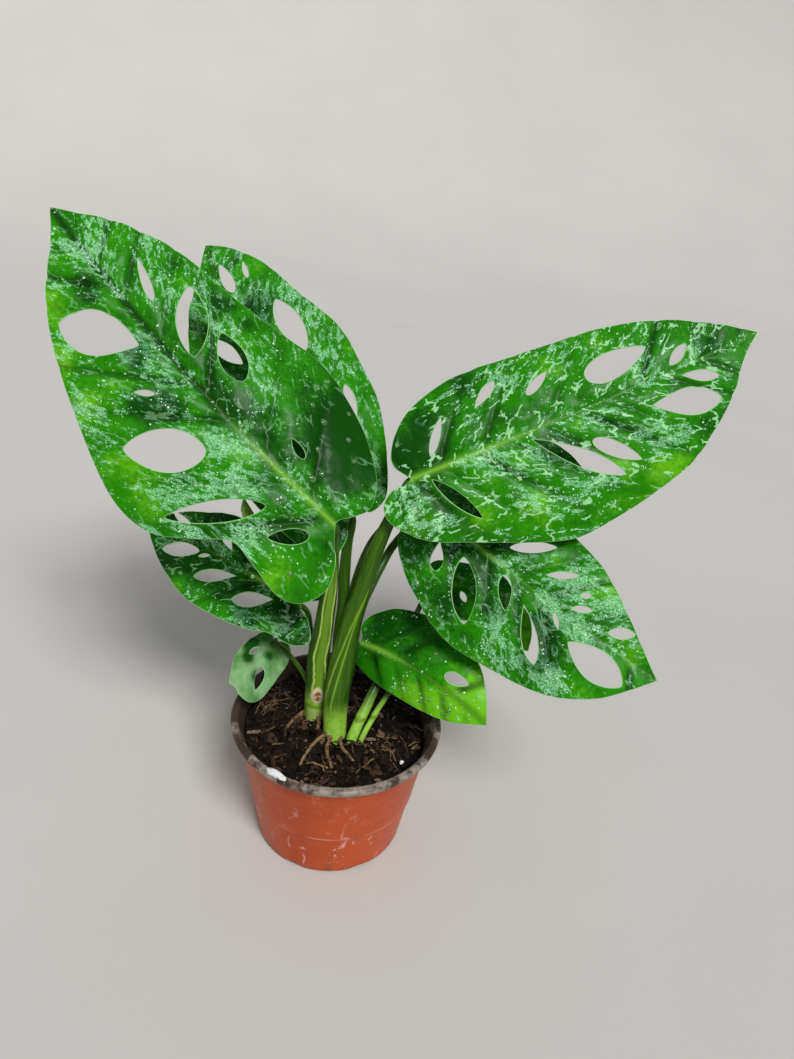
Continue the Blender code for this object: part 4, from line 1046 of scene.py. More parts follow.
def edge_outline(leaf, length, spacing):
    """The blade's edge as a loop: notch, left edge, tip, right edge."""
    notch, tip = (1.0, 0.0), (length, 0.0)
    left = evenly(spline([notch, *leaf["left"], tip], 8), spacing)
    right = evenly(spline([notch, *leaf["right"], tip], 8), spacing)
    return np.vstack([left, right[-2:0:-1]])


def inside(points, loop):
    """Which points lie inside a closed loop."""
    x, y = points[:, 0], points[:, 1]
    result = np.zeros(len(points), bool)
    for (x1, y1), (x2, y2) in zip(loop, np.roll(loop, -1, axis=0)):
        crosses = (y1 > y) != (y2 > y)
        if y1 != y2:
            result ^= crosses & (x < (x2 - x1) * (y - y1) / (y2 - y1) + x1)
    return result


def nearest(points, others):
    """Each point's distance to the nearest of the others."""
    result = np.full(len(points), 1e9)
    for other in others:
        result = np.minimum(result, np.hypot(points[:, 0] - other[0], points[:, 1] - other[1]))
    return result


def leaf_loops(blade):
    loops = [edge_outline(blade.leaf, blade.length, EDGE_SPACING)]
    for start, end, width, widest in blade.leaf["holes"]:
        stations = max(7, int(1.3 * math.dist(start, end) / EDGE_SPACING))
        loops.append(hole_outline(start, end, width, widest, stations))
    return loops


def on_blade(points, loops):
    keep = inside(points, loops[0])
    for loop in loops[1:]:
        keep &= ~inside(points, loop)
    return keep


def blade_sheet(blade, loops, spacing):
    """Flat points and triangles of a leaf: rows along the midrib, an even grid beyond them."""
    points = [tuple(p) for loop in loops for p in loop]
    edges, first = [], 0
    for loop in loops:
        edges += [(first + i, first + (i + 1) % len(loop)) for i in range(len(loop))]
        first += len(loop)
    boundary = np.vstack(loops)
    free = []
    for s in np.arange(2.0, blade.length - 1, spacing):
        free += [(s, side * row) for row in RIB_ROWS for side in ((-1, 1) if row else (1,))]
    reach = np.abs(boundary[:, 1]).max()
    low, high = boundary[:, 0].min(), boundary[:, 0].max()
    for number, t in enumerate(np.arange(RIB_ROWS[-1] + 0.8 * spacing, reach, 0.866 * spacing)):
        for s in np.arange(low + (number % 2) * spacing / 2, high, spacing):
            free += [(s, t), (s, -t)]
    free = np.array(free)
    free = free[on_blade(free, loops)]
    free = free[nearest(free, boundary) > 0.55 * spacing]
    points += [tuple(p) for p in free]
    flat, _, triangles, _, _, _ = delaunay_2d_cdt([Vector(p) for p in points], edges, [], 0, 1e-6)
    flat = np.array(flat)
    triangles = np.array([t for t in triangles if len(t) == 3])
    triangles = triangles[on_blade(flat[triangles].mean(axis=1), loops)]
    used = np.unique(triangles)
    index = np.full(len(flat), -1)
    index[used] = np.arange(len(used))
    flat, triangles = flat[used], index[triangles]
    a, b, c = (flat[triangles[:, i]] for i in range(3))
    turn = (b - a)[:, 0] * (c - a)[:, 1] - (b - a)[:, 1] * (c - a)[:, 0]
    triangles[turn < 0] = triangles[turn < 0][:, ::-1]
    return flat, triangles


def open_edges(triangles, count):
    """Directed edges that only one triangle has: the blade lies to their left."""
    directed = np.vstack([triangles[:, [i, (i + 1) % 3]] for i in range(3)])
    code = directed[:, 0] * count + directed[:, 1]
    back = directed[:, 1] * count + directed[:, 0]
    return directed[~np.isin(code, back)]


def raised_share(blade, s):
    """How far the midrib still stands up above the blade, from 1 at the stalk to 0 towards the tip."""
    return smoothstep((0.5 * blade.length - s) / (0.35 * blade.length))


def fine_relief(blade, wet, s, y):
    """Midrib, furrows along the side veins, dents and puckers, as height above the blade's smooth form."""
    t = np.abs(y)
    raised = raised_share(blade, s)
    size = min(1.0, blade.length / FULL_LEAF)
    rib = raised * bump(y, 1.3 + raised) - 0.8 * wet["groove"] * (1 - raised) * bump(y, 1.6)
    dents = 1.3 * soft_sum([spot for spot in wet["light"] if spot[3] < 0 and spot[2] < 10], s, y)
    flat = np.column_stack([s, y])
    pucker = 0.80 * noise_at(flat, 13.0, wet["seed"] + 2) * size
    pucker = pucker + 0.42 * noise_at(flat, 6.0, wet["seed"]) + 0.16 * noise_at(flat, 3.0, wet["seed"] + 1)
    margin = np.clip(1.3 - t / blade.leaf["half"], 0, 1)
    lift = (pucker + np.maximum(dents, -1.6)) * ramp(t, 1, 4) * margin
    tip = np.clip((blade.length - s) / (0.22 * blade.length), 0.15, 1)
    return rib * size + tip * (lift - 0.95 * size * furrows(blade, wet, s, y, 1.6))


def furrows(blade, wet, s, y, width):
    """How deep in a side vein's furrow each point lies, some veins being deeper than others."""
    t = np.abs(y)
    _, away, _, number = blade.vein_field(s, y)
    strength = 0.75 + 0.45 * np.sin(number * 2.4 + wet["seed"])
    fade = ramp(t, 1, 5) * np.clip(1.25 - t / blade.leaf["half"], 0, 1)
    return strength * bump(away, width) * fade


def edge_directions(blade, flat, border):
    """The points on the blade's edges and, for each, the direction that leads out of the blade."""
    outward = np.zeros((len(flat), 2))
    run = flat[border[:, 1]] - flat[border[:, 0]]
    right = np.column_stack([run[:, 1], -run[:, 0]])
    np.add.at(outward, border[:, 0], right)
    np.add.at(outward, border[:, 1], right)
    ring = np.unique(border)
    out_flat = outward[ring] / np.maximum(np.linalg.norm(outward[ring], axis=1), 1e-9)[:, None]
    s, y = flat[ring, 0], flat[ring, 1]
    out = blade.place(s + 0.3 * out_flat[:, 0], y + 0.3 * out_flat[:, 1]) - blade.place(s, y)
    return ring, out / np.linalg.norm(out, axis=1)[:, None]


def leaf_values(blade, wet, flat, ring):
    """What the material reads at the points of the two faces and of the three rows of the bead."""
    s, y = flat[:, 0], flat[:, 1]
    raised = raised_share(blade, s)
    rib = bump(y, 0.7 + 0.9 * raised) * (0.15 + 0.75 * raised) * np.where(s > -2, 1, 0)
    rib *= np.where(wet["groove"] > 0.8, raised, 1.0)
    # Furrow and groove depth: painted shade on the upper face, paler veins on the underside
    groove = bump(y, 2.2) * (1 - raised) * wet["groove"]
    valley = np.clip(np.maximum(0.9 * furrows(blade, wet, s, y, 1.9), groove), 0, 1)
    damp = wet["film"] + soft_sum(wet["wet"], s, y)
    # Painted light and shade: the whole leaf's sun number plus its light spots
    painted_sun = wet["painted_sun"] + soft_sum(wet["light"], s, y)
    root = blade.vein_field(s, y)[0]
    edge = np.zeros(len(s))
    edge[ring] = 0.45
    rows = len(BEAD_TURNS)

    def spread(*columns):
        value = np.column_stack(columns) if len(columns) > 1 else columns[0]
        return np.concatenate([value, value] + [value[ring]] * rows)

    return {
        "flat": spread(s, y, 0 * s),
        "flow": spread(root, 1.25 * y, 0 * s),
        "tone": spread(damp, painted_sun, valley),
        "rim": np.concatenate([edge, edge, np.ones(rows * len(ring))]),
        "under": np.repeat([0.0, 1.0, 0.0, 0.5, 1.0], [len(s), len(s)] + [len(ring)] * rows),
        "rib": spread(rib),
    }


def make_leaf(name, look, slot):
    """A closed blade with a rounded bead, painted pale as a highlight, along its edge and round its holes."""
    blade, wet = Blade(name), WET[name]
    spacing = 1.35 if blade.length > BIG_LEAF else 1.15
    flat, triangles = blade_sheet(blade, leaf_loops(blade), spacing)
    s, y = flat[:, 0], flat[:, 1]
    normal = blade.normal(s, y)
    middle = blade.place(s, y) + normal * fine_relief(blade, wet, s, y)[:, None]
    keel = blade.keel(s) * np.clip(1 - np.abs(y) / KEEL_HALF_WIDTH, 0, 1)
    side_vein = 0.4 * furrows(blade, wet, s, y, 0.9)
    top = middle + normal * BLADE / 2
    bottom = middle - normal * (BLADE / 2 + np.maximum(keel, side_vein))[:, None]
    count = len(flat)
    border = open_edges(triangles, count)
    ring, out = edge_directions(blade, flat, border)
    points = [top, bottom]
    for turn in map(math.radians, BEAD_TURNS):
        points.append(middle[ring] + BEAD * (math.sin(turn) * out + math.cos(turn) * normal[ring]))
    in_ring = np.full(count, -1)
    in_ring[ring] = np.arange(len(ring))
    rows = [border]
    rows += [2 * count + k * len(ring) + in_ring[border] for k in range(len(BEAD_TURNS))]
    rows.append(border + count)
    faces = triangles.tolist() + (triangles[:, ::-1] + count).tolist()
    for upper, lower in zip(rows, rows[1:]):
        faces += np.hstack([upper[:, ::-1], lower]).tolist()
    values = leaf_values(blade, wet, flat, ring)
    new_piece(name + "_blade", np.vstack(points), faces, look, slot, values, (name,))


def drop_mesh(blade, wet, spots, sizes, random, flatness, sides=10):
    """Low domes on a leaf's upper face, in one mesh."""
    s, y = spots[:, 0], spots[:, 1]
    normal = blade.normal(s, y)
    ground = blade.place(s, y) + normal * (fine_relief(blade, wet, s, y) + BLADE / 2)[:, None]
    heights = (0.0, 0.45, 0.8)
    parts = []
    for centre, up, radius, turn in zip(ground, normal, sizes, random.uniform(0, math.pi, len(spots))):
        side = np.cross(up, (math.cos(turn), math.sin(turn), 0.3))
        side /= np.linalg.norm(side)
        other = np.cross(up, side)
        stretch = random.uniform(0.85, 1.4)
        points = [centre - 0.2 * up]
        for height in heights:
            for i in range(sides):
                angle = 2 * math.pi * i / sides
                reach = radius * math.sqrt(1 - height ** 2)
                flat = reach * (math.cos(angle) * side * stretch + math.sin(angle) * other)
                points.append(centre + flat + (flatness * radius * height - 0.08) * up)
        points.append(centre + (flatness * radius - 0.08) * up)
        parts.append((points, ring_faces(sides, len(heights))))
    return joined(parts)


def make_drops(name, look):
    """Small drops on a leaf's upper face, gathered in clusters where the film lies."""
    blade, wet = Blade(name), WET[name]
    random = np.random.default_rng(wet["seed"])
    loops = leaf_loops(blade)
    boundary = np.vstack(loops)
    low, high = boundary.min(axis=0), boundary.max(axis=0)
    spots = np.zeros((0, 2))
    for _ in range(40 * wet["drops"]):
        if len(spots) >= wet["drops"]:
            break
        middle = random.uniform(low, high)
        cluster = middle + random.normal(0, random.uniform(1.5, 6.0), (random.integers(2, 12), 2))
        wanted = 0.46 + soft_sum(wet["wet"], cluster[:, 0], cluster[:, 1])
        keep = on_blade(cluster, loops) & (nearest(cluster, boundary) > 1.2)
        keep &= wanted > random.uniform(0.30, 0.62, len(cluster))
        spots = np.vstack([spots, cluster[keep]])
    spots = spots[:wet["drops"]]
    sizes = 0.17 + 0.14 * random.random(len(spots)) + 0.42 * random.random(len(spots)) ** 7
    points, faces = drop_mesh(blade, wet, spots, sizes, random, 0.75)
    new_piece(name.replace("leaf", "drops"), points, faces, look, None)


def make_pearls():
    """The few big clear drops."""
    random = np.random.default_rng(17)
    parts = []
    for name, drops in PEARLS.items():
        drops = np.array(drops, float)
        parts.append(drop_mesh(Blade(name), WET[name], drops[:, :2], drops[:, 2], random, 0.55, 20))
    new_piece("pearls", *joined(parts), pearl_look(), None)


def route_frames(route, spacing):
    """Centres, radii and the front and side directions along a route."""
    curve = evenly(spline(route, 12), spacing)
    centres, radii = curve[:, :3], curve[:, 3]
    tangents = np.gradient(centres, axis=0)
    tangents /= np.linalg.norm(tangents, axis=1)[:, None]
    front = np.array([0.0, -1.0, 0.0])
    fronts, sides = [], []
    for tangent in tangents:
        front = front - front @ tangent * tangent
        front /= np.linalg.norm(front)
        fronts.append(front)
        sides.append(np.cross(tangent, front))
    return centres, radii, np.array(fronts), np.array(sides)


def tube(route, sides, spacing, ridge=None):
    """Points and faces of a closed round stalk; ridge adds to its radius by angle and height."""
    centres, radii, fronts, across = route_frames(route, spacing)
    angle = 2 * math.pi * np.arange(sides) / sides
    points = []
    for centre, radius, front, side in zip(centres, radii, fronts, across):
        reach = radius + (ridge(angle, centre[2]) if ridge else 0.0 * angle)
        ways = np.cos(angle)[:, None] * front + np.sin(angle)[:, None] * side
        points.append(centre + reach[:, None] * ways)
    rings = len(centres)
    faces = [tuple(reversed(range(sides))), tuple(range((rings - 1) * sides, rings * sides))]
    for ring in range(rings - 1):
        for i in range(sides):
            a, b = ring * sides + i, ring * sides + (i + 1) % sides
            faces.append((a, b, b + sides, a + sides))
    return np.vstack(points), faces


def stalk_to(name, route, radius):
    """The route led on under the blade's midrib, growing thinner."""
    blade = Blade(name)
    reach = STALK_REACH * min(1.0, blade.length / BIG_LEAF)
    return route + [blade.under(0.0, radius, 2 * SEAT_GAP), blade.under(reach, radius * 0.5, SEAT_GAP)]


def root_route(root):
    """A root's points with their heights measured from the soil's surface."""
    return [(x, y, float(soil_height(x, y)) + lift, radius) for x, y, lift, radius in root]


def skin_values(points, routes, roots):
    """For each point of a stem: its place round and along the nearest route, whether that is a root, the
    route's number and the angle round it."""
    best = np.full(len(points), 1e9)
    skin = np.zeros((len(points), 3))
    root = np.zeros(len(points))
    which = np.zeros(len(points), int)
    turn = np.zeros(len(points))
    for number, route in enumerate(routes + roots):
        centres, radii, fronts, sides = route_frames(route, 1.0)
        for first in range(0, len(points), 4000):
            part = slice(first, first + 4000)
            away = points[part, None, :] - centres[None]
            distance = np.linalg.norm(away, axis=2) - radii
            near = distance.argmin(axis=1)
            rows = np.arange(len(near))
            gap = distance[rows, near]
            better = gap < best[part]
            chosen = away[rows, near]
            angle = np.arctan2((chosen * sides[near]).sum(axis=1), (chosen * fronts[near]).sum(axis=1))
            at = np.arange(len(points))[part][better]
            best[at] = gap[better]
            turn[at] = angle[better]
            place = np.column_stack([angle * radii[near], near * 1.0, 40.0 * number + 0 * angle])
            skin[at] = place[better]
            root[at] = float(number >= len(routes))
            which[at] = number
    return skin, root, which, turn


def make_stem(name, look, routes, roots, ridge, marks):
    """Stalks and roots melted into one skin; marks gives its pale, shaded and scarred parts."""
    parts = [tube(route, 32, 1.2, ridge if i == 0 else None) for i, route in enumerate(routes)]
    parts += [tube(root, 12, 1.2) for root in roots]
    obj = link("scratch", mesh_from("scratch", *joined(parts)))
    remesh = obj.modifiers.new("melt", "REMESH")
    remesh.mode = "VOXEL"
    remesh.voxel_size = STEM_VOXEL * MM
    smooth = obj.modifiers.new("smooth", "SMOOTH")
    smooth.factor = 0.5
    smooth.iterations = 3
    mesh = applied(obj)
    points = mesh_points(mesh)
    faces = [tuple(polygon.vertices) for polygon in mesh.polygons]
    skin, root, which, turn = skin_values(points, routes, roots)
    pale, shade, scar = marks(points, which, turn)
    values = {"skin": skin, "root": root, "pale": pale, "shade": shade, "scar": scar}
    new_piece(name + "_skin", points, faces, look, "stem", values, (name,))


def marks_left(points, which, turn):
    """The yellow strip with its pale wavy edges, the brown scar at its foot and a shaded left side."""
    main = which == 0
    z = points[:, 2]
    on = ramp(z, 88, 91) * ramp(z, 176, 156) * main
    edges = sum(bump(around(turn, at) - wave(z, at), 0.12) for at in STRIP_EDGES)
    strip = 0.42 * np.exp(-(around(turn, 16) / 0.42) ** 4)
    foot = 0.85 * ramp(z, 83, 79) * np.exp(-(around(turn, 5) / 1.3) ** 4) * main
    shade = np.clip(0.75 * bump(around(turn, -70), 0.7) + 0.6 * bump(around(turn, 120), 0.8), 0, 1)
    taper = 0.95 - 0.055 * np.clip(z - 84, 0, 12)
    scar = 0.55 * np.exp(-(((z - 88.5) / 6.0) ** 2 + (around(turn, 8) / taper) ** 2) ** 2)
    torn = np.exp(-(((z - 88) / 4.2) ** 2 + (around(turn, 10) / (0.55 * taper)) ** 2) ** 2)
    pale = np.maximum(np.clip(edges, strip, 1) * on, foot)
    return pale, shade * main * ramp(z, 80, 88), np.maximum(scar, torn) * main


def marks_centre(points, which, turn):
    """Pale sheath margins on the main stem, painted shade on its right side and over the side stalks."""
    main = which == 0
    z = points[:, 2]
    on = ramp(z, 80, 90) * ramp(z, 160, 144) * main
    pale = sum(bump(around(turn, 0) - np.radians(at), 0.08) for at in climbing(z))
    shade = 0.8 * bump(around(turn, 80), 0.8) * ramp(z, 75, 95) * main + 0.5 * (which > 0)
    return np.clip(0.66 * pale * on, 0, 1), shade, np.zeros(len(points))


def make_stems():
    look = stem_look()
    routes = [
        stalk_to("leaf_left_upper", STEM_LEFT, 2.2),
        stalk_to("leaf_left_lower", STALK_LEFT_LOWER, 1.5),
        stalk_to("leaf_left_small", STALK_LEFT_SMALL, 1.0),
        STALK_ROLLED,
    ]
    make_stem("stem_left", look, routes, [root_route(root) for root in ROOTS_LEFT], sheath, marks_left)
    routes = [
        stalk_to("leaf_right_upper", STEM_CENTRE, 2.3),
        stalk_to("leaf_left_back", STALK_LEFT_BACK, 2.0),
        stalk_to("leaf_right_middle", STALK_RIGHT_MIDDLE, 1.8),
        stalk_to("leaf_back_upper", STALK_BACK_UPPER, 1.3),
        stalk_to("leaf_right_lower", STALK_RIGHT_LOWER, 1.5),
    ]
    roots = [root_route(root) for root in ROOTS_CENTRE]
    make_stem("stem_centre", look, routes, roots, sheath_centre, marks_centre)
    make_shoot("shoot_thick", stalk_to("leaf_back_lower", SHOOT_THICK, 1.2), look)
    make_shoot("shoot_thin", stalk_to("leaf_back_small", SHOOT_THIN, 1.0), look)


def make_shoot(name, route, look):
    """A young shoot with a raised ring where its first sheath ended."""
    def ridge(angle, height):
        return 0.35 * bump(height - SHEATH_RING, 0.7) - 0.25 * bump(around(angle, 20), 0.35)

    points, faces = tube(route, 28, 0.9, ridge)
    skin, root, _, _ = skin_values(points, [route], [])
    z = points[:, 2]
    pale = 0.6 * bump(z - SHEATH_RING, 1.0) + 0.30 * ramp(z, 78, 70)
    shade = np.minimum(ramp(z, 84, 96), 0.8)
    values = {"skin": skin, "root": root, "pale": pale, "shade": shade, "scar": 0 * z}
    new_piece(name + "_skin", points, faces, look, "stem", values, (name,))


def make_rolled_leaf():
    """A young leaf still rolled up: one edge winds round it as a raised seam."""
    sides = 36

    def along_seam(angle, height):
        return (angle / (2 * math.pi) - height / SEAM_PITCH) % 1.0

    def seam(angle, height):
        return 0.45 * along_seam(angle, height) ** 3

    points, faces = tube(ROLLED_LEAF, sides, 0.6, seam)
    angle = np.tile(2 * math.pi * np.arange(sides) / sides, len(points) // sides)
    values = {"seam": along_seam(angle, points[:, 2])}
    new_piece("leaf_rolled_sheet", points, faces, rolled_look(), "leaf", values, ("leaf_rolled",))


def pot_profile():
    """Radius and height round the pot's section, up the outside and down the inside."""
    top_wall = RIM_RADIUS - LIP_OVERHANG
    return [
        (0.0, 0.0), (BASE_RADIUS - 1.0, 0.0), (BASE_RADIUS, 1.0),
        (STEP_RADIUS - STEP_WIDTH, STEP_HEIGHT - 1.0), (STEP_RADIUS, STEP_HEIGHT), (top_wall, LIP_LOW),
        (RIM_RADIUS - 1.6, LIP_LOW), (RIM_RADIUS - 0.6, LIP_LOW + 0.9), (RIM_RADIUS, POT_HEIGHT - 1.4),
        (RIM_RADIUS - 1.2, POT_HEIGHT), (RIM_RADIUS - LIP_WIDTH + 0.8, POT_HEIGHT),
        (RIM_RADIUS - LIP_WIDTH, POT_HEIGHT - 0.8), (top_wall - WALL, LIP_LOW - 2.0),
        (STEP_RADIUS - WALL, STEP_HEIGHT), (BASE_RADIUS - WALL, FLOOR + 0.6),
        (BASE_RADIUS - WALL - 0.6, FLOOR), (0.0, FLOOR),
    ]


def inner_radius(height):
    """Radius of the pot's inside at a height."""
    heights = [FLOOR + 0.6, STEP_HEIGHT, LIP_LOW - 2.0]
    radii = [BASE_RADIUS - WALL, STEP_RADIUS - WALL, RIM_RADIUS - LIP_OVERHANG - WALL]
    return np.interp(height, heights, radii)


def rounded(profile, radius):
    """The profile with every corner between its ends turned into a short arc."""
    result = [profile[0]]
    for before, corner, after in zip(profile, profile[1:], profile[2:]):
        before, corner, after = (np.array(p, float) for p in (before, corner, after))
        into, out = before - corner, after - corner
        cut = min(radius, 0.4 * np.linalg.norm(into), 0.4 * np.linalg.norm(out))
        start = corner + cut * into / np.linalg.norm(into)
        end = corner + cut * out / np.linalg.norm(out)
        for u in (0.0, 0.33, 0.67, 1.0):
            result.append(tuple((1 - u) ** 2 * start + 2 * u * (1 - u) * corner + u ** 2 * end))
    return result + [profile[-1]]


def turned(profile, segments):
    """Points and faces of a closed solid turned round the Z axis."""
    points = [(0.0, 0.0, profile[0][1])]
    for radius, height in profile[1:-1]:
        for i in range(segments):
            angle = 2 * math.pi * i / segments
            points.append((radius * math.cos(angle), radius * math.sin(angle), height))
    points.append((0.0, 0.0, profile[-1][1]))
    return points, ring_faces(segments, len(profile) - 2)


def drain_cutter(angle, radius, size, turn):
    """A round cutter of the given half sizes, lying along the radius or standing upright."""
    shape = bmesh.new()
    bmesh.ops.create_cone(shape, cap_ends=True, segments=28, radius1=1.0, radius2=1.0, depth=2.0)
    mesh = bpy.data.meshes.new("cutter")
    shape.to_mesh(mesh)
    shape.free()
    spot = Vector((math.cos(angle), math.sin(angle), 0)) * radius * MM
    size = Matrix.Diagonal((*(s * MM for s in size), 1))
    mesh.transform(Matrix.Translation(spot) @ Matrix.Rotation(angle, 4, "Z") @ turn @ size)
    return bpy.data.objects.new("cutter", mesh)


def make_pot():
    """The pot's shell with rounded corners, arched notches at its foot and the drain holes above them."""
    obj = link("scratch", mesh_from("scratch", *turned(rounded(pot_profile(), CORNER), POT_SEGMENTS)))
    group = bpy.data.collections.new("cutters")
    bpy.context.scene.collection.children.link(group)
    lying = Matrix.Rotation(math.radians(90), 4, "Y")
    notch = (NOTCH_HEIGHT, NOTCH_WIDTH / 2, NOTCH_DEPTH)
    hole = (DRAIN_RADIUS, DRAIN_RADIUS, 2 * FLOOR)
    for i in range(DRAINS):
        angle = math.radians(FIRST_DRAIN) + 2 * math.pi * i / DRAINS
        group.objects.link(drain_cutter(angle, BASE_RADIUS, notch, lying))
        inward = BASE_RADIUS - NOTCH_DEPTH + DRAIN_RADIUS + 0.5
        group.objects.link(drain_cutter(angle, inward, hole, Matrix()))
    boolean = obj.modifiers.new("cut", "BOOLEAN")
    boolean.operation = "DIFFERENCE"
    boolean.operand_type = "COLLECTION"
    boolean.collection = group
    boolean.solver = "EXACT"
    mesh = applied(obj)
    for cutter in list(group.objects):
        bpy.data.objects.remove(cutter)
    bpy.data.collections.remove(group)
    mesh.name = "pot_shell"
    mesh.materials.clear()
    mesh.materials.append(pot_look())
    mesh.shade_smooth()
    mesh.set_sharp_from_angle(angle=math.radians(35))
    points = mesh_points(mesh)
    wall = inner_radius(points[:, 2]) + WALL / 2
    inner = (np.hypot(points[:, 0], points[:, 1]) < wall) & (points[:, 2] > FLOOR - 0.5)
    write_values(mesh, {"inner": inner})
    carry("pot_shell", mesh, ("pot",))


def soil_height(x, y):
    """Lumpy surface, heaped round the stems and a little lower towards the right front."""
    lumps = 0.9 * np.sin(x / 5.3 + 1.2) * np.cos(y / 6.1) + 0.55 * np.sin(x / 3.1 - y / 4.3)
    heap = MOUND * np.exp(-((x + 4) ** 2 + (y + 3) ** 2) / (2 * MOUND_RADIUS ** 2))
    return SOIL_LEVEL + lumps + heap - SOIL_DIP * ramp(x - 0.4 * y, 34, 50)


def crumbs(x, y):
    """Small ups and downs of the soil's surface: crumbs of several sizes with dark hollows between them."""
    flat = np.column_stack([x, y])
    rough = 1.2 * noise_at(flat, 7.0, 2) + 0.9 * noise_at(flat, 2.8, 4) + 0.4 * noise_at(flat, 1.4, 6)
    knobs = np.array([noise.voronoi(Vector((a / 4.2, b / 4.2, 0.3)))[0][0] for a, b in flat.tolist()])
    return rough + 2.0 * (0.45 - knobs)


def surface_height(x, y):
    at = np.array([float(x)]), np.array([float(y)])
    return float((soil_height(*at) + crumbs(*at))[0])


def make_soil():
    """The soil's body: rings of points under a crumbly surface, closed by a wall and a flat foot."""
    rim = float(inner_radius(SOIL_LEVEL)) - 0.25
    rings = int(rim / SOIL_GRID)
    radii = [rim * (1 - ring / (rings + 1)) for ring in range(rings + 1)]
    counts = [max(8, int(2 * math.pi * radius / SOIL_GRID)) for radius in radii]
    points = []
    for ring, (radius, count) in enumerate(zip(radii, counts)):
        for i in range(count):
            angle = 2 * math.pi * (i + 0.5 * (ring % 2)) / count
            points.append((radius * math.cos(angle), radius * math.sin(angle)))
    points.append((0.0, 0.0))
    flat = np.array(points)
    height = soil_height(flat[:, 0], flat[:, 1]) + crumbs(flat[:, 0], flat[:, 1])
    flat, _, triangles, _, _, _ = delaunay_2d_cdt([Vector(p) for p in points], [], [], 0, 1e-6)
    top = np.column_stack([np.array(flat), height])
    outer = counts[0]
    angle = np.arctan2(top[:outer, 1], top[:outer, 0])
    foot_height = LIP_LOW - SOIL_DEPTH
    reach = float(inner_radius(foot_height)) - 0.4
    foot = np.column_stack([reach * np.cos(angle), reach * np.sin(angle), np.full(outer, foot_height)])
    first = len(top)
    faces = [tuple(t) for t in triangles]
    a, b, c = (top[faces[0][i]] for i in range(3))
    if (b - a)[0] * (c - a)[1] - (b - a)[1] * (c - a)[0] < 0:
        faces = [face[::-1] for face in faces]
    for i in range(outer):
        j = (i + 1) % outer
        faces.append((j, i, first + i, first + j))
    faces.append(tuple(range(first + outer - 1, first - 1, -1)))
    values = {"tone": np.concatenate([0.3 * noise_at(top, 2.5, 9) + 0.3, np.zeros(outer)])}
    new_piece("soil_body", np.vstack([top, foot]), faces, soil_look("soil", 0.1), "soil", values, ("soil",))
    make_bark(rim)
    make_fibres(rim)


def spot_within(radius, random):
    """A random spot in a disc round the pot's middle."""
    reach = radius * math.sqrt(random.random())
    angle = random.uniform(0, 2 * math.pi)
    return reach * math.cos(angle), reach * math.sin(angle)


def scrap_size(number, random):
    """Half sizes of a scrap of bark: one in six is a broad flake, two are splinters and three are chips."""
    if number % 6 == 0:
        return np.array([random.uniform(2.4, 4.6), random.uniform(1.2, 2.2), random.uniform(0.35, 0.7)])
    if number % 6 < 3:
        return np.array([random.uniform(1.8, 4.2), random.uniform(0.35, 0.7), random.uniform(0.25, 0.5)])
    size = random.uniform(0.6, 1.5)
    return size * np.array([1.0, random.uniform(0.5, 0.9), random.uniform(0.4, 0.8)])


def make_bark(rim):
    """Scraps of bark lying every way on the surface."""
    random = np.random.default_rng(5)
    parts, tones = [], []
    lump, lump_faces = ball(1)
    for number in range(BARK_SCRAPS):
        x, y = spot_within(rim - 3.5, random)
        scale = scrap_size(number, random)
        rough = lump * scale * (1 + random.uniform(-0.3, 0.3, (len(lump), 1)))
        turn = Matrix.Rotation(random.uniform(0, 2 * math.pi), 3, "Z")
        turn = turn @ Matrix.Rotation(random.normal(0, 0.35), 3, "Y")
        turn = turn @ Matrix.Rotation(random.normal(0, 0.5), 3, "X")
        place = np.array([x, y, surface_height(x, y) + 0.5 * scale[2] + random.uniform(0, 0.5)])
        parts.append((rough @ np.array(turn).T + place, lump_faces))
        tones.append(np.full(len(lump), random.random() ** 1.3))
    values = {"tone": np.concatenate(tones)}
    bark = new_piece("soil_bark", *joined(parts), soil_look("bark"), "soil", values)
    bark.data.set_sharp_from_angle(angle=math.radians(30))


def make_fibres(rim):
    """Coir fibres and dead rootlets lying over the soil, every other one in a tuft."""
    random = np.random.default_rng(8)
    parts, tones = [], []
    steps = FIBRE_POINTS - 1
    for number in range(FIBRES):
        if number % 2:
            x, y = spot_within(rim - 6, random)
        else:
            x, y = random.normal(TUFTS[number // 2 % len(TUFTS)], 4.0)
        heading, bend = random.uniform(0, 2 * math.pi), random.normal(0, 0.09)
        length, thick = random.uniform(4, 14), random.uniform(0.25, 0.75) * random.uniform(0.6, 1.0)
        route = []
        for k in range(FIBRE_POINTS):
            if math.hypot(x, y) > rim - 1.5:
                break
            lift = 0.5 + 1.6 * math.sin(math.pi * k / steps) * random.random()
            route.append((x, y, surface_height(x, y) + lift, thick * (1 - 0.08 * k)))
            x += math.cos(heading) * length / steps
            y += math.sin(heading) * length / steps
            heading += bend + random.normal(0, 0.09)
        if len(route) < 3:
            continue
        part = tube(route, 6, 1.2)
        parts.append(part)
        tones.append(np.full(len(part[0]), random.random() ** 2))
    new_piece("soil_fibres", *joined(parts), fibre_look(), "soil", {"tone": np.concatenate(tones)})


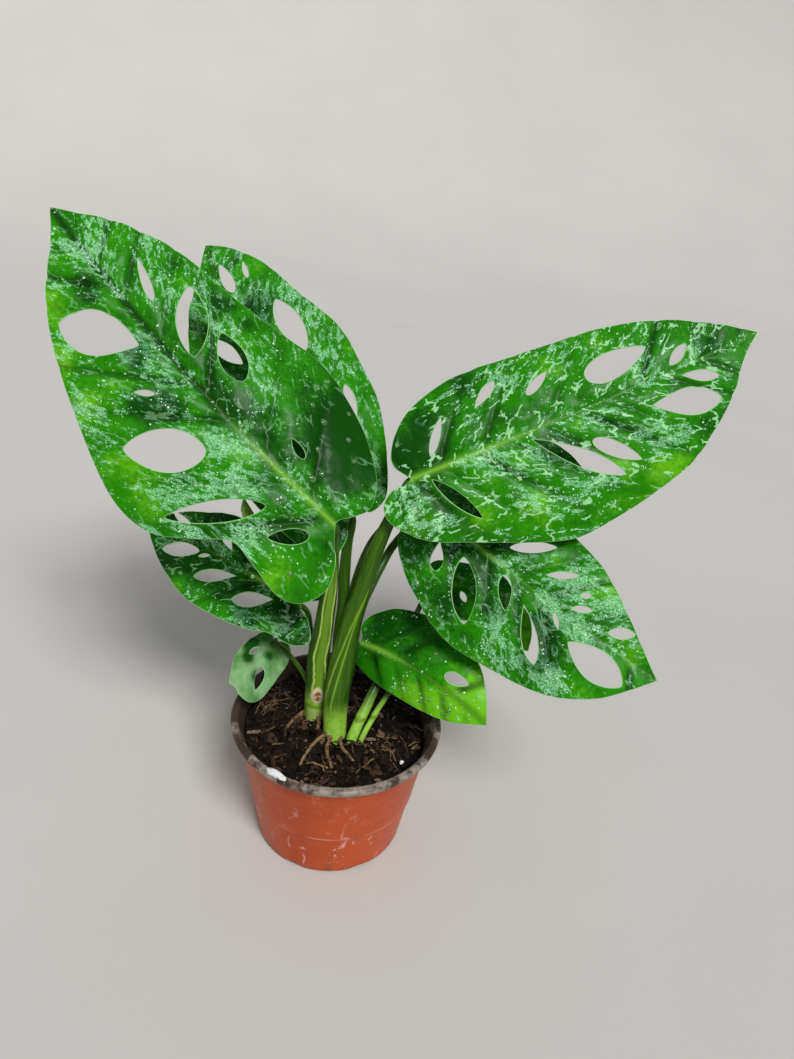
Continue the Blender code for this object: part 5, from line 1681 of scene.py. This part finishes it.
def make_perlite():
    """A flake of perlite on the lip, a chip further round and a few grains in the soil."""
    random = np.random.default_rng(12)
    grain, grain_faces = ball(3)
    lip = RIM_RADIUS - LIP_WIDTH / 2
    spots = [
        (-117, lip - 0.2, POT_HEIGHT, (5.2, 2.1, 1.4)),
        (-112, lip + 0.6, POT_HEIGHT, (2.0, 1.4, 0.9)),
        (-28, 44, 66.5, (1.4, 1.1, 0.9)),
    ]
    spots += [(random.uniform(0, 360), 46 * math.sqrt(random.random()), None, (s, s * 0.8, s * 0.7))
              for s in random.uniform(0.4, 0.8, 7)]
    parts = []
    for number, (angle, radius, height, size) in enumerate(spots):
        turn = math.radians(angle)
        x, y = radius * math.cos(turn), radius * math.sin(turn)
        lumps = 0.35 * noise_at(grain, 0.8, 20 + number) + 0.15 * noise_at(grain, 0.35, 40 + number)
        lumpy = grain * (1 + lumps)[:, None] * np.array(size)[[1, 0, 2]]
        spin = np.array(Matrix.Rotation(turn, 3, "Z"))
        z = (surface_height(x, y) if height is None else height) + 0.45 * size[2]
        parts.append((lumpy @ spin.T + np.array([x, y, z]), grain_faces))
    new_piece("perlite", *joined(parts), perlite_look(), "soil")


def make_stage():
    """A plain pale floor that sweeps up all round, far from the plant, under a pale sky and two lamps."""
    section = [(STAGE_FLAT * k / 4, 0.0) for k in range(1, 5)]
    for turn in np.radians(np.arange(5, 91, 5)):
        section.append((STAGE_FLAT + STAGE_BEND * math.sin(turn), STAGE_BEND - STAGE_BEND * math.cos(turn)))
    points = [(0.0, 0.0, -STAGE_DROP)]
    for radius, height in section:
        for angle in 2 * math.pi * np.arange(STAGE_SIDES) / STAGE_SIDES:
            points.append((radius * math.cos(angle), radius * math.sin(angle), height - STAGE_DROP))
    faces = []
    for i in range(STAGE_SIDES):
        j = (i + 1) % STAGE_SIDES
        faces.append((0, 1 + i, 1 + j))
        for ring in range(len(section) - 1):
            low, high = 1 + ring * STAGE_SIDES, 1 + (ring + 1) * STAGE_SIDES
            faces.append((low + i, high + i, high + j, low + j))
    mesh = bpy.data.meshes.new("floor")
    mesh.from_pydata(points, [], faces)
    mesh.shade_smooth()
    mesh.materials.append(floor_look())
    link("floor", mesh)
    world = bpy.data.worlds.new("studio")
    world.use_nodes = True
    sky = world.node_tree.nodes["Background"].inputs
    sky["Color"].default_value = (*SKY, 1.0)
    sky["Strength"].default_value = SKY_POWER
    bpy.context.scene.world = world
    make_lamp("key", "SUN", KEY_PLACE, KEY_POWER, angle=math.radians(KEY_ANGLE))
    make_lamp("left", "AREA", SIDE_PLACE, SIDE_POWER, size=SIDE_SIZE)


def make_lamp(name, kind, place, power, **shape):
    """A lamp turned to the middle of the plant."""
    light = bpy.data.lights.new(name, kind)
    light.energy = power
    for key, value in shape.items():
        setattr(light, key, value)
    turn = (Vector(AIM) - Vector(place)).to_track_quat("-Z", "Y").to_matrix().to_4x4()
    link(name, light).matrix_world = Matrix.Translation(place) @ turn


def make_camera():
    """The photograph's view: 27 degrees down, rolled a little, with a phone's wide lens."""
    camera = bpy.data.cameras.new("camera")
    camera.lens = LENS
    camera.sensor_width = SENSOR
    camera.sensor_fit = "AUTO"
    camera.clip_start = 0.01
    pitch, roll = math.radians(CAMERA_PITCH), math.radians(CAMERA_ROLL)
    forward = Vector((0, math.cos(pitch), -math.sin(pitch)))
    right = Vector((1, 0, 0))
    up = right.cross(forward)
    x_axis = math.cos(roll) * right + math.sin(roll) * up
    y_axis = -math.sin(roll) * right + math.cos(roll) * up
    turn = Matrix((x_axis, y_axis, -forward)).transposed().to_4x4()
    obj = link("camera", camera)
    obj.matrix_world = Matrix.Translation(CAMERA_PLACE) @ turn
    bpy.context.scene.camera = obj


def main():
    make_camera()
    make_stage()
    bpy.context.scene.view_settings.view_transform = "Standard"
    make_pot()
    make_soil()
    make_perlite()
    make_stems()
    make_rolled_leaf()
    water = water_look()
    for name in LEAVES:
        pale = name == "leaf_left_small"
        make_leaf(name, leaf_look(name, WET[name], pale), "pale_leaf" if pale else "leaf")
        make_drops(name, water)
    make_pearls()


main()
